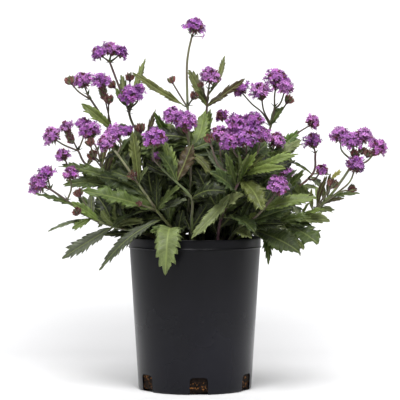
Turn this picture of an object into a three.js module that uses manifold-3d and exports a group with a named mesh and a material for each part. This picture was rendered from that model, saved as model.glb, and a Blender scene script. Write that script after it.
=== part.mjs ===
// A potted purple verbena (Verbena rigida): a black plastic nursery pot with six
// drainage holes round its foot, the potting mix that fills it, twenty leafy stems
// that stand in holes in the mix, and the purple flower heads that sit on their
// stalks. Millimetres, +Z up, origin at the centre of the pot's underside.
//
// One leafy stem is one solid: a square main stem, its stalks, toothed leaves in
// opposite pairs and unopened bud clusters, all grown together. One bloom is one
// solid too: one flower head, or several that grow into each other, each a core
// with five-lobed florets standing out of it and a ring of calyx points below.

import * as THREE from "three";
import { mergeVertices } from "three/addons/utils/BufferGeometryUtils.js";
import Module from "manifold-3d";

const wasm = await Module();
wasm.setup();

// ---------------------------------------------------------------- driving sizes
const POT_HEIGHT = 187;
const RIM_RADIUS = 82.5;
const FOOT_RADIUS = 70;
const WALL = 1.3;
const FLOOR = 2;
const RIM_BAND = 12.5;
const POT_SIDES = 28;

const DRAIN_HOLES = 6;
const DRAIN_WIDTH = 22;
const DRAIN_HEIGHT = 21;
const DRAIN_CORNER = 5;
const DRAIN_DEPTH = 14; // how far a drainage hole reaches in under the pot
const DRAIN_TURN = 0.068; // how far the first hole stands past the front, in radians

const SOIL_LEVEL = 170;
const SOIL_BUMP = 1.4;
const FLAT_MIX = 48; // radius of the level middle, where the stems stand
const GAP = 0.3;

const ROOTED = 11; // how deep a stem stands in the mix
const STEM_FOOT = 2.0; // half the diagonal of the square stem, at the soil
const STEM_TOP = 1.15;
const STALK_FOOT = 1.0;
const STALK_TOP = 0.75;
const HOLE_RADIUS = 3.1; // half the diagonal of the square hole that a stem stands in
const HOLE_RISE = 9; // how far the cut for a hole reaches up past the mix

const BLADE = 1.3; // thickness at the midrib
const FOLD = 0.22; // how far a blade's edges rise, as a share of its half width
const LEAF_LENGTH = 74;
const LEAF_SLENDER = 0.32; // width over length
const LEAF_BOW = 0.09; // rise of the arch over length

const CORE = 0.52; // a head's core, as a share of the head's radius
const SEAT = 0.7947 * CORE; // the core's flat foot under the head's centre, same share
const SEAT_GAP = 0.6;
const ARM = 0.35; // half thickness of the arm between two heads of a bloom, same share

const CLEAR = 4; // least distance between the sample points of two leaves
const OWN_SHARE = 0.35; // the share of a leaf, from its base, that may touch its own stem's parts
const NOBODY = -1;
const HEAD_LIFT = 0.25; // how much a head turns up from the way of its stalk
const BUD_SUNK = 0.6; // how deep a stalk ends under a bud cluster's centre, over its radius

// ------------------------------------------------------------ the plant's layout
// Each stem: its path from the soil outwards, [x, y] at the soil and then [x, y, z].
//   whorls: places along the path, counted in path points, with a pair of leaves.
//   leaves: single leaves, [place, tip, width, bow].
//   stalks: [bloom, place, points on the way, centre, radius, spike length]; a stalk
//   of bloom "bud" ends in closed buds, and stalks of one letter share one bloom.
const SHOOTS = [
  {
    name: "far_left",
    path: [
      [-22, -8], [-56, -16, 190], [-98, -24, 201], [-126, -28, 211], [-156, -32, 233],
      [-176, -35, 247],
    ],
    whorls: [],
    leaves: [
      [3.7, [-192, -40, 241], 10, 1], [3.0, [-179, -38, 195], 6, 4], [3.0, [-149, -46, 199], 9, 2],
      [2.0, [-161, -44, 163], 16, 7], [2.1, [-121, -16, 240], 18, 3],
      [1.1, [-94, 12, 210], 20, 6],
    ],
    stalks: [
      ["a", 5, [], [-189, -37, 253], 13.5, 0],
      ["a", 5, [], [-180, -37, 267], 9.5, 0],
      ["b", 4, [[-151, -31, 247]], [-152, -30, 265], 10, 0],
      ["bud", 3, [[-136, -22, 232]], [-143, -20, 242], 6.5, 0],
      ["bud", 3.2, [], [-143, -40, 220], 6, 0],
    ],
  },
  {
    name: "left_back",
    path: [[-18, 10], [-48, 24, 216], [-93, 34, 249], [-135, 38, 275], [-147, 38, 294]],
    whorls: [1.4],
    leaves: [
      [1.9, [-171, 18, 275], 17, 7], [1.7, [-165, 14, 252], 17, 8], [3.0, [-128, 44, 285], 7, 1],
      [2.5, [-126, 66, 260], 14, 5],
    ],
    stalks: [
      ["a", 4, [[-153, 38, 306]], [-162, 38, 324], 8.5, 19],
      ["b", 4, [[-164, 33, 301]], [-178.5, 29, 312], 13, 0],
      ["c", 4, [[-141, 42, 310]], [-140, 43, 326], 11, 6],
      ["d", 2.7, [[-155, 22, 274]], [-165, 20, 288], 10, 0],
    ],
  },
  {
    name: "left_mid",
    path: [[-12, -14], [-36, -16, 212], [-78, -10, 240], [-110, -6, 266], [-120, -4, 294]],
    whorls: [1.3],
    leaves: [
      [3.0, [-102, -12, 294], 9, 2], [2.3, [-142, -20, 272], 16, 3], [2.3, [-138, -26, 256], 11, 3],
    ],
    stalks: [
      ["a", 4, [], [-130, -4, 317], 12.8, 5],
      ["bud", 3.5, [[-124, -14, 288]], [-129, -18, 304], 6.5, 0],
      ["bud", 3, [[-120, 2, 279]], [-127, 4, 288], 7.5, 0],
    ],
  },
  {
    name: "left_front",
    path: [
      [-16, -28], [-28, -36, 198], [-46, -42, 221], [-68, -46, 253], [-88, -48, 282], [-97, -50, 294],
    ],
    whorls: [],
    leaves: [
      [1.6, [-115, -64, 150], 13, 13], [2, [-135, -78, 247], 22, 4], [2, [-18, -62, 250], 17, 3],
      [3, [-56, -62, 274], 7, 1], [3, [-76, -40, 318], 13, 3], [0.9, [-35, -98, 146], 29, 30],
      [2, [-58, -28, 284], 22, 3], [4, [-98, -30, 272], 10, 3],
    ],
    stalks: [
      ["a", 5, [], [-105, -53, 303], 12.5, 0],
      ["a", 4.6, [[-90, -42, 301]], [-98, -42, 314], 13, 0],
      ["bud", 3, [], [-75, -50, 264], 7, 0],
      ["bud", 2, [], [-67, -58, 230], 4, 0],
    ],
  },
  {
    name: "left_top",
    path: [
      [-8, 14], [-28, 26, 229], [-68, 38, 279], [-98, 42, 312], [-116, 43, 336], [-135, 44, 364],
    ],
    whorls: [1.2, 2.0],
    leaves: [[3.2, [-143, 34, 353], 13, 6], [3.2, [-86, 52, 326], 9, 2]],
    stalks: [
      ["a", 5, [], [-141, 46, 381], 13, 0],
      ["bud", 4.8, [[-146, 36, 368]], [-157, 33, 382], 7, 0],
      ["b", 3.3, [[-110, 36, 346]], [-117, 30, 380], 12, 18],
      ["bud", 3.6, [], [-108, 30, 358], 7, 0],
    ],
  },
  {
    name: "crown_left",
    path: [
      [-3, 22], [-16, 40, 234], [-48, 58, 286], [-77, 66, 324], [-86, 66, 349], [-96, 64, 374],
      [-108, 62, 406],
    ],
    whorls: [1.3, 2.1],
    leaves: [[3.6, [-63, 76, 412], 8, 3]],
    stalks: [
      ["a", 6, [], [-107, 62, 422], 11, 0],
      ["a", 6, [[-114, 58, 411]], [-122, 56, 417], 10.5, 0],
      ["a", 6, [[-101, 66, 412]], [-95, 68, 419], 9.5, 0],
      ["b", 3.7, [[-83, 58, 346]], [-81, 50, 363], 13.5, 0],
      ["b", 3.9, [[-74, 68, 356]], [-71, 62, 372], 8, 0],
      ["bud", 4.2, [[-84, 74, 370]], [-83, 76, 388], 6.5, 0],
      ["bud", 4.6, [], [-105, 74, 378], 6, 0],
    ],
  },
  {
    name: "inner_left",
    path: [[-11, 1], [-25, 4, 229], [-50, 10, 274], [-65, 14, 304]],
    whorls: [1.5],
    leaves: [[2.6, [-49, 16, 346], 6, 2]],
    stalks: [
      ["bud", 3, [], [-68, 18, 322], 7, 0],
      ["a", 2.8, [[-74, 10, 305]], [-83, 6, 318], 8, 0],
    ],
  },
  {
    name: "tallest",
    path: [
      [1, 5], [-3, 5, 224], [-7, 2, 294], [-9, 0, 347], [-10, 0, 394], [-8, 0, 416], [-4, 0, 434],
    ],
    whorls: [1.3],
    leaves: [[3, [-77, -8, 391], 10, 0.5], [1.05, [-50, -26, 341], 18, 2]],
    stalks: [
      ["a", 6, [], [0, 0, 447], 13, 0],
      ["bud", 3, [[-23, -4, 370]], [-29, -5, 381], 5.5, 0],
      ["bud", 3.05, [], [-1, -9, 361], 6, 0],
    ],
  },
  {
    name: "upright",
    path: [[10, 8], [11, 15, 224], [12, 22, 294], [15, 25, 349], [17, 25, 370]],
    whorls: [1.4],
    leaves: [
      [3, [-8, 28, 395], 12, 3], [3, [63, 20, 385], 10, -4], [3.5, [38, 50, 414], 7, 0],
      [2, [19, 16, 346], 8, 2], [1.2, [35, -10, 302], 18, 4],
    ],
    stalks: [
      ["a", 4, [], [19, 25, 386], 13, 0],
      ["bud", 3.2, [], [8, 14, 376], 4.5, 0],
    ],
  },
  {
    name: "right_top",
    path: [[22, 16], [36, 29, 219], [62, 44, 259], [86, 53, 299], [96, 55, 325], [101, 55, 349]],
    whorls: [1.2, 2.0],
    leaves: [[4, [112, 56, 350], 12, 2]],
    stalks: [
      ["a", 5, [[101, 56, 364]], [104, 55, 385], 13.5, 9],
      ["a", 4.9, [[108, 50, 354]], [114, 42, 373], 11, 0],
      ["b", 4, [[85, 47, 342], [72, 46, 353]], [57, 44, 371], 11, 0],
      ["c", 4.1, [[87, 44, 344]], [83, 38, 368], 13, 6],
      ["bud", 4.2, [[108, 62, 342]], [119, 64, 359], 7, 0],
    ],
  },
  {
    name: "front_cluster",
    path: [[27, -29], [31, -38, 209], [47, -54, 244], [59, -62, 272], [62, -64, 290]],
    whorls: [1.1, 2.0],
    leaves: [
      [2.6, [124, -84, 290], 13, 6], [2.6, [106, -104, 274], 12, 4], [3, [42, -74, 296], 12, 2],
      [2, [-4, -92, 190], 14, 4], [1, [57, -84, 243], 17, 6], [2.5, [80, -94, 222], 21, 5],
      [2.1, [13, -62, 297], 10, 2],
    ],
    stalks: [
      ["a", 4, [], [61, -78, 309], 14.5, 0],
      ["a", 3.4, [[47, -50, 294], [45, -48, 310]], [51, -58, 325], 13.5, 0],
      ["a", 3.6, [[70, -48, 292], [74, -44, 310]], [71, -56, 328], 13.5, 0],
      ["a", 3.7, [[50, -74, 288]], [43, -76, 304], 11, 0],
      ["a", 3.8, [[73, -70, 288]], [80, -72, 312], 11, 0],
      ["b", 2.5, [[33, -52, 282]], [30, -50, 313], 11.5, 0],
      ["bud", 2.7, [[30, -62, 274]], [17, -68, 308], 6.5, 0],
    ],
  },
  {
    name: "right_mid",
    path: [[28, 2], [47, 4, 209], [74, 4, 249], [92, 4, 284], [96, 3, 294]],
    whorls: [1.2, 1.9],
    leaves: [
      [3, [133, 0, 308], 13, -4], [2.6, [130, 18, 300], 12, 4], [1.6, [110, -14, 275], 16, 3],
    ],
    stalks: [
      ["a", 4, [], [100, 2, 306], 12, 0],
      ["bud", 3.3, [], [82, -10, 302], 6, 0],
      ["b", 3, [[110, 26, 301], [130, 26, 317]], [147, 26, 329], 10, 0],
      ["c", 2.9, [[68, 12, 300], [42, 10, 326]], [34, 9, 337], 9, 0],
    ],
  },
  {
    name: "right_back",
    path: [[34, 15], [64, 32, 209], [112, 42, 236], [148, 45, 264], [152, 44, 290]],
    whorls: [1.2, 1.8],
    leaves: [[3, [170, 48, 264], 5, 2], [3, [121, 52, 280], 5, 3], [2.4, [162, 66, 244], 12, 4]],
    stalks: [
      ["a", 4, [], [149, 42, 306], 11.5, 5],
      ["b", 2.8, [[150, 34, 258]], [159, 29, 270], 8.5, 0],
    ],
  },
  {
    name: "far_right",
    path: [
      [31, -5], [64, -8, 192], [107, -10, 204], [142, -10, 218], [165, -10, 237], [182, -10, 259],
      [192, -9, 275], [195, -8, 288],
    ],
    whorls: [1.3],
    leaves: [
      [4, [202, -22, 242], 8, 3], [3.4, [185, 0, 235], 6, 2], [3, [173, -4, 221], 9, 3],
      [2.3, [165, -26, 209], 16, 6], [2, [150, -48, 181], 27, 3], [1.1, [126, -60, 170], 26, 14],
      [1.4, [89, -34, 155], 10, 13],
    ],
    stalks: [
      ["a", 7, [], [194, -13, 305], 13, 0],
      ["a", 6.5, [[182, 3, 294]], [180, 2, 312], 12.5, 0],
      ["a", 6.8, [[204, 3, 294]], [209, 1, 311], 12.5, 0],
      ["b", 6.3, [[210, -14, 280]], [225, -18, 298], 11.5, 7],
      ["c", 3.5, [[174, -20, 242], [189, -23, 255]], [197, -25, 275], 12.5, 0],
      ["bud", 3.9, [[183, -2, 244]], [194, 2, 246], 6.5, 0],
      ["bud", 3.2, [[160, -26, 240]], [168, -30, 253], 7, 0],
    ],
  },
  {
    name: "front_right",
    path: [[34, -17], [51, -45, 198], [76, -72, 218], [92, -88, 238]],
    whorls: [1.2],
    leaves: [
      [0.8, [68, -94, 190], 13, 6], [1.2, [116, -70, 226], 16, 4], [2.2, [145, -92, 238], 19, 5],
      [1, [106, -74, 206], 18, 4],
    ],
    stalks: [
      ["a", 3, [], [99, -95, 251], 12.5, 0],
    ],
  },
  {
    name: "front_left",
    path: [[-2, -27], [-4, -46, 209], [-4, -54, 236], [-22, -62, 256], [-40, -68, 273]],
    whorls: [],
    leaves: [
      [2, [37, -80, 246], 21, 5], [3, [-36, -62, 304], 15, 3], [3, [-3, -64, 301], 20, 2],
    ],
    stalks: [
      ["a", 4, [[-50, -74, 286]], [-48, -77, 308], 14, 0],
      ["b", 3.8, [], [-45, -56, 286], 7, 0],
    ],
  },
  {
    name: "front_centre",
    path: [[-3, -19], [-8, -32, 219], [-5, -42, 266], [-7, -46, 300], [-10, -48, 316]],
    whorls: [1.2],
    leaves: [[3, [-22, -56, 326], 10, 2], [2.7, [21, -62, 264], 11, 3], [2.6, [12, 2, 344], 17, 2]],
    stalks: [
      ["a", 4, [], [-10, -50, 329], 13.5, 8],
      ["a", 3.4, [[-20, -38, 318]], [-27, -40, 335], 12.5, 0],
    ],
  },
  {
    name: "back_left",
    path: [[-11, 27], [-30, 62, 207], [-62, 96, 238], [-80, 112, 260]],
    whorls: [1.2, 2.0],
    leaves: [[1, [-76, 108, 180], 20, 12]],
    stalks: [
      ["a", 3, [], [-90, 120, 276], 12.5, 0],
      ["b", 2.5, [[-60, 112, 266]], [-52, 118, 286], 11.5, 0],
    ],
  },
  {
    name: "back",
    path: [[7, 31], [9, 68, 210], [6, 104, 244], [2, 122, 268]],
    whorls: [1.1, 1.9],
    leaves: [[1, [36, 132, 182], 20, 14], [1.0, [-28, 124, 188], 18, 12]],
    stalks: [
      ["a", 3, [], [-2, 128, 286], 13, 0],
      ["b", 2.6, [[20, 118, 266]], [32, 124, 280], 10.5, 0],
    ],
  },
  {
    name: "back_right",
    path: [[24, 31], [48, 62, 204], [82, 90, 230], [104, 104, 250]],
    whorls: [1.1, 1.8],
    leaves: [[1, [106, 112, 176], 20, 12]],
    stalks: [
      ["a", 3, [], [116, 112, 264], 12.5, 0],
      ["b", 2.5, [[90, 110, 260]], [84, 120, 276], 10.5, 0],
    ],
  },
];

// ------------------------------------------------------- points, paths and chance
const add = (a, b) => [a[0] + b[0], a[1] + b[1], a[2] + b[2]];
const sub = (a, b) => [a[0] - b[0], a[1] - b[1], a[2] - b[2]];
const mul = (a, k) => [a[0] * k, a[1] * k, a[2] * k];
const dot = (a, b) => a[0] * b[0] + a[1] * b[1] + a[2] * b[2];
const cross = (a, b) => [a[1] * b[2] - a[2] * b[1], a[2] * b[0] - a[0] * b[2], a[0] * b[1] - a[1] * b[0]];
const size = (a) => Math.sqrt(dot(a, a));
const unit = (a) => mul(a, 1 / size(a));
const UP = [0, 0, 1];

// A number from 0 to 1 that depends on the seed alone.
function chance(seed) {
  let h = Math.imul(seed ^ 0x9e3779b9, 0x85ebca6b);
  h ^= h >>> 13;
  h = Math.imul(h, 0xc2b2ae35);
  h ^= h >>> 16;
  return (h >>> 0) / 4294967296;
}

// The point of a path at a place counted in path points, and the path's way there.
function along(path, place) {
  const i = Math.min(Math.floor(Math.max(place, 0)), path.length - 2);
  return add(path[i], mul(sub(path[i + 1], path[i]), Math.max(place, 0) - i));
}

const STEP = 0.02;
function heading(path, place) {
  const ahead = Math.min(place + STEP, path.length - 1);
  return unit(sub(along(path, ahead), along(path, place - STEP)));
}

// -------------------------------------------------------------- planning a leaf
// A leaf is flat across and arched along: base, tip, side (across), face (its upper
// side's normal, as near as can be to the way it turns toward), width and bow (how
// far its middle stands above its chord).
function leafOf(base, tip, toward, width, bow) {
  const chord = unit(sub(tip, base));
  const across = cross(chord, toward);
  const side = unit(size(across) > 0.2 ? across : cross(chord, [0.9, 0.3, 0.3]));
  return { base, tip, side, face: cross(side, chord), width, bow };
}

function leafPoint(leaf, s) {
  const middle = add(mul(add(leaf.base, leaf.tip), 0.5), mul(leaf.face, 2 * leaf.bow));
  const a = mul(leaf.base, (1 - s) * (1 - s));
  const b = mul(middle, 2 * s * (1 - s));
  return add(add(a, b), mul(leaf.tip, s * s));
}

// Half the blade's width at s, from the base at 0 to the tip at 1.
const leafHalf = (leaf, s) => 0.5 * leaf.width * Math.pow(Math.sin(Math.PI * Math.pow(s, 0.8)), 0.75);

const SAMPLES_ALONG = 16;
const SAMPLES_ACROSS = [-0.9, -0.45, 0, 0.45, 0.9];

function leafSamples(leaf) {
  const found = [];
  for (let i = 2; i <= SAMPLES_ALONG; i++) {
    const s = i / SAMPLES_ALONG;
    const rib = leafPoint(leaf, s);
    const half = s < 1 ? leafHalf(leaf, s) : 0;
    for (const k of SAMPLES_ACROSS) {
      const out = add(rib, mul(leaf.side, k * half));
      found.push(add(out, mul(leaf.face, Math.abs(k) * half * FOLD)));
    }
  }
  return found;
}

// The space already taken, in cells: [point, reach, owner].
const CELL = 8;
const taken = new Map();
const cellOf = (p) => p.map((v) => Math.floor(v / CELL));

function take(point, reach, owner) {
  const cell = cellOf(point);
  const spread = Math.ceil((reach + CLEAR) / CELL);
  for (let x = -spread; x <= spread; x++)
    for (let y = -spread; y <= spread; y++)
      for (let z = -spread; z <= spread; z++) {
        const key = `${cell[0] + x},${cell[1] + y},${cell[2] + z}`;
        if (!taken.has(key)) taken.set(key, []);
        taken.get(key).push([point, reach, owner]);
      }
}

function takePath(path, radius, owner) {
  for (let place = 0; place < path.length - 1; place += 0.1) take(along(path, place), radius, owner);
}

function blocked(point, owner) {
  for (const [other, reach, who] of taken.get(cellOf(point).join(",")) || []) {
    const d = sub(point, other);
    if (who !== owner && dot(d, d) < (CLEAR + reach) ** 2) return true;
  }
  return false;
}

// A leaf keeps out of the pot's wall and rim and off the mix.
function inPot(p) {
  const r = Math.sqrt(p[0] * p[0] + p[1] * p[1]);
  const inside = r < RIM_RADIUS - 6.5;
  if (inside) return p[2] < SOIL_LEVEL + 6;
  return r < RIM_RADIUS + 4.5 && p[2] < POT_HEIGHT + 5;
}

function fits(leaf, owner) {
  return !leafSamples(leaf).some((p) => inPot(p) || blocked(p, owner));
}

function growFirst(poses, shoot, owner) {
  for (const leaf of poses) {
    if (!fits(leaf, owner)) continue;
    shoot.grown.push(leaf);
    const samples = leafSamples(leaf);
    const rooted = samples.length * OWN_SHARE;
    samples.forEach((p, i) => take(p, 0, i < rooted ? owner : NOBODY));
    return;
  }
}

// A single leaf may lean nearer or further, and be a little shorter, to lie clear.
const LEANS = [0, 6, -6, 12, -12, 18, -18, 26, -26, 34, -34];
const SINGLE_SHRINKS = [1, 0.92, 0.84, 0.7];
const FRONT_UP = [0, -0.75, 0.66];
const BACK_UP = [0, 0.6, 0.8];
const BACK_FROM = 60; // leaves whose tips lie further back than this turn backwards

function* singlePoses(shoot, [place, tip, width, bow]) {
  const base = along(shoot.path, place);
  const toward = tip[1] > BACK_FROM ? BACK_UP : FRONT_UP;
  for (const shrink of SINGLE_SHRINKS)
    for (const lean of LEANS) {
      const leant = add(tip, [0, lean, Math.abs(lean) * 0.1]);
      const reach = mul(sub(leant, base), shrink);
      yield leafOf(base, add(base, reach), toward, width * shrink, bow * shrink);
    }
}

// A leaf of a pair stands out from the stem, each pair at right angles to the last.
const TURNS = [0, 16, -16, 32, -32, 48, -48, 64, -64];
const PAIR_SHRINKS = [1, 0.85, 0.7];
const DOME = { top: 310, fallX: 0.2, fallY: 0.25, reachX: 152 }; // pairs stay under it
const degrees = (angle) => (angle * Math.PI) / 180;

function* pairPoses(shoot, owner, place, pair, half) {
  const stem = heading(shoot.path, place);
  const base = along(shoot.path, place);
  const e1 = unit(cross(stem, [0.35, 0.2, 1]));
  const e2 = cross(e1, stem);
  const seed = owner * 97 + pair * 13 + half * 5;
  const share = place / (shoot.path.length - 1);
  const open = degrees(52 + 16 * chance(seed + 1));
  const fall = 0.14 + 0.25 * chance(seed + 2) - 0.3 * share;
  const full = LEAF_LENGTH * (1.06 - 0.4 * share) * (0.86 + 0.28 * chance(seed + 3));
  for (const shrink of PAIR_SHRINKS)
    for (const turn of TURNS) {
      const round = degrees(90 * pair + 180 * half + 40 * chance(seed) + 35 * (owner % 5) + turn);
      const out = add(mul(e1, Math.cos(round)), mul(e2, Math.sin(round)));
      const rising = add(mul(stem, Math.cos(open)), mul(out, Math.sin(open)));
      const length = full * shrink;
      const tip = add(base, mul(unit(add(rising, [0, 0, -fall])), length));
      const dome = DOME.top - DOME.fallX * Math.abs(tip[0]) - DOME.fallY * Math.abs(tip[1]);
      if (tip[2] > dome || Math.abs(tip[0]) > DOME.reachX) continue;
      const outward = unit([base[0] + tip[0], base[1] + tip[1], 0.001]);
      const toward = add(mul(outward, 0.9), [0.5 * chance(seed + 4) - 0.25, 0, 0.7]);
      yield leafOf(base, tip, toward, length * LEAF_SLENDER, length * LEAF_BOW);
    }
}

// ------------------------------------------------------------ planning the plant
// Stems and stalks are laid out first, and take their space.
SHOOTS.forEach((shoot, owner) => {
  const [x, y] = shoot.path[0];
  shoot.path = [[x, y, SOIL_LEVEL], ...shoot.path.slice(1)];
  shoot.grown = [];
  shoot.ends = shoot.stalks.map(([bloom, place, via, centre, radius, spike]) => {
    const from = along(shoot.path, place);
    const before = via.length ? via[via.length - 1] : from;
    const axis = unit(add(unit(sub(centre, before)), mul(UP, HEAD_LIFT)));
    const sunk = bloom === "bud" ? BUD_SUNK * radius : SEAT * radius + SEAT_GAP;
    const foot = sub(centre, mul(axis, sunk));
    return { bloom, path: [from, ...via, foot], centre, axis, radius, spike };
  });
  takePath(shoot.path, STEM_TOP, owner);
  for (const end of shoot.ends) {
    takePath(end.path, STALK_TOP, owner);
    take(end.centre, end.radius - 2, end.bloom === "bud" ? owner : NOBODY);
  }
});

// First all the single leaves and then the pairs, each leaf in the first of its poses
// that lies clear. A leaf that finds none isn't grown.
SHOOTS.forEach((shoot, owner) => {
  for (const wanted of shoot.leaves) growFirst(singlePoses(shoot, wanted), shoot, owner);
});
SHOOTS.forEach((shoot, owner) => {
  shoot.whorls.forEach((place, pair) => {
    for (const half of [0, 1]) growFirst(pairPoses(shoot, owner, place, pair, half), shoot, owner);
  });
});

// --------------------------------------------------------------- solids and joins
function solid(geometry) {
  const plain = geometry.clone();
  const spare = Object.keys(plain.attributes).filter((key) => key !== "position");
  for (const key of spare) plain.deleteAttribute(key);
  const merged = mergeVertices(plain, 1e-4);
  const kept = [];
  const index = merged.index.array;
  for (let i = 0; i < index.length; i += 3) {
    const [a, b, c] = [index[i], index[i + 1], index[i + 2]];
    if (a !== b && b !== c && a !== c) kept.push(a, b, c);
  }
  const vertProperties = merged.attributes.position.array;
  return new wasm.Manifold(new wasm.Mesh({ numProp: 3, vertProperties, triVerts: new Uint32Array(kept) }));
}

function geometryOf(manifold) {
  const mesh = manifold.getMesh();
  const geometry = new THREE.BufferGeometry();
  geometry.setAttribute("position", new THREE.BufferAttribute(new Float32Array(mesh.vertProperties), 3));
  geometry.setIndex(new THREE.BufferAttribute(new Uint32Array(mesh.triVerts), 1));
  geometry.computeVertexNormals();
  return geometry;
}

// Points and faces as a geometry.
function shell(points, faces) {
  const geometry = new THREE.BufferGeometry();
  geometry.setAttribute("position", new THREE.Float32BufferAttribute(points.flat(), 3));
  geometry.setIndex(faces.flat());
  return geometry;
}

const largest = (manifold) => manifold.decompose().sort((a, b) => b.volume() - a.volume())[0];
const fuse = (parts) => parts.slice(1).reduce((all, part) => all.add(part), parts[0]);

// A closed body with few sides swept through centres, tapering from foot to top.
function sweep(centres, sides, footRadius, topRadius) {
  const points = [];
  const faces = [];
  const steps = centres.length - 1;
  let normal = null;
  centres.forEach((centre, i) => {
    const way = unit(sub(centres[Math.min(i + 1, steps)], centres[Math.max(i - 1, 0)]));
    normal = unit(normal ? sub(normal, mul(way, dot(normal, way))) : cross(way, [0.42, 0.9, 0.11]));
    const across = cross(way, normal);
    const radius = footRadius + ((topRadius - footRadius) * i) / steps;
    for (let k = 0; k < sides; k++) {
      const turn = (2 * Math.PI * k) / sides;
      const out = add(mul(normal, Math.cos(turn)), mul(across, Math.sin(turn)));
      points.push(add(centre, mul(out, radius)));
    }
  });
  for (let i = 0; i < steps; i++)
    for (let k = 0; k < sides; k++) {
      const [a, b] = [i * sides + k, i * sides + ((k + 1) % sides)];
      faces.push([a, b, b + sides], [a, b + sides, a + sides]);
    }
  const top = steps * sides;
  for (let k = 1; k < sides - 1; k++) faces.push([0, k + 1, k], [top, top + k, top + k + 1]);
  return solid(shell(points, faces));
}

// A toothed blade: both faces share its outline, and stand apart at the midrib.
// Long leaves have three teeth a side and short ones two.
const LONG = 84;
const TEETH = { long: [0.3, 0.54, 0.78], short: [0.38, 0.7] }; // places along the blade
const NOTCH = 0.1; // how far behind a tooth the outline steps in again
const TOOTH_OUT = 1.12;
const NOTCH_IN = 0.8;
const RIB_BACK = 0.02; // how far before a tooth the midrib has its point

function blade(leaf) {
  const teeth = size(sub(leaf.tip, leaf.base)) > LONG ? TEETH.long : TEETH.short;
  const ribs = teeth.map((s) => ({ s: s - RIB_BACK, rib: leafPoint(leaf, s - RIB_BACK) }));
  const edge = [];
  for (const [i, s] of teeth.entries()) {
    edge.push({ s, out: leafHalf(leaf, s) * TOOTH_OUT });
    if (i < teeth.length - 1) edge.push({ s: s + NOTCH, out: leafHalf(leaf, s + NOTCH) * NOTCH_IN });
  }
  const points = [leafPoint(leaf, 0), leafPoint(leaf, 1)];
  for (const way of [1, -1])
    for (const { rib } of ribs) points.push(add(rib, mul(leaf.face, (way * BLADE) / 2)));
  for (const way of [1, -1])
    for (const { s, out } of edge) {
      const raised = mul(leaf.face, out * FOLD);
      points.push(add(add(leafPoint(leaf, s), mul(leaf.side, way * out)), raised));
    }
  const faces = [];
  const firstEdge = 2 + 2 * ribs.length;
  for (const [half, first] of [firstEdge, firstEdge + edge.length].entries())
    for (const [side, rib] of [2, 2 + ribs.length].entries()) {
      const inner = [[0, 0], ...ribs.map((r, i) => [r.s, rib + i]), [1, 1]];
      const outer = [[0, 0], ...edge.map((e, i) => [e.s, first + i]), [1, 1]];
      let [i, k] = [0, 0];
      while (i < inner.length - 1 || k < outer.length - 1) {
        const innerLeft = i < inner.length - 1;
        const goInner = k === outer.length - 1 || (innerLeft && inner[i + 1][0] <= outer[k + 1][0]);
        const [a, b] = [inner[i][1], outer[k][1]];
        const c = goInner ? inner[++i][1] : outer[++k][1];
        if (a !== b && b !== c && a !== c) faces.push(half === side ? [a, b, c] : [a, c, b]);
      }
    }
  return solid(shell(points, faces));
}

// Where a head's or bud's own frame, its axis along +Z, stands in the plant.
function stand(geometry, centre, axis, spin) {
  const upright = new THREE.Vector3(...UP);
  const turn = new THREE.Quaternion().setFromUnitVectors(upright, new THREE.Vector3(...axis));
  return geometry.rotateZ(spin).applyQuaternion(turn).translate(...centre);
}

const FIFTH = (2 * Math.PI) / 5;
const ringPoint = (radius, z, turn) => [radius * Math.cos(turn), radius * Math.sin(turn), z];

const next = (k) => (k + 1) % 5;

// A cluster of closed buds: five bud tips round a crown, each in a five-sided whorl.
const BUD_RINGS = [[0.36, -0.75, 0], [0.88, -0.2, 0.5], [0.66, 0.4, 0]];
const BUD_CROWN = 1.05;

function budCluster(radius) {
  const points = [];
  const faces = [];
  for (const [share, z, turned] of BUD_RINGS)
    for (let k = 0; k < 5; k++) points.push(ringPoint(share * radius, z * radius, (k + turned) * FIFTH));
  const crown = points.push([0, 0, radius * BUD_CROWN]) - 1;
  for (let k = 0; k < 5; k++) {
    faces.push([k, next(k), 5 + k], [5 + k, next(k), 5 + next(k)]);
    faces.push([5 + k, 5 + next(k), 10 + next(k)], [5 + k, 10 + next(k), 10 + k]);
    faces.push([10 + k, 10 + next(k), crown]);
  }
  for (const k of [1, 2, 3]) faces.push([0, k + 1, k]);
  return shell(points, faces);
}

// A flower head: a twelve-faced core whose top six faces each open into a floret of
// five lobes round a sunken throat, and whose next five are drawn out into calyxes.
// All sizes are shares of the head's radius.
const FLORET = { level: 0.86, reach: 0.5, throat: 0.66 };
const CALYX = 0.74;
const CORE_RINGS = [
  [0.6071, 0.7947, 0], [0.9822, 0.1876, 0], [0.9822, -0.1876, 0.5], [0.6071, -0.7947, 0.5],
];

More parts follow.
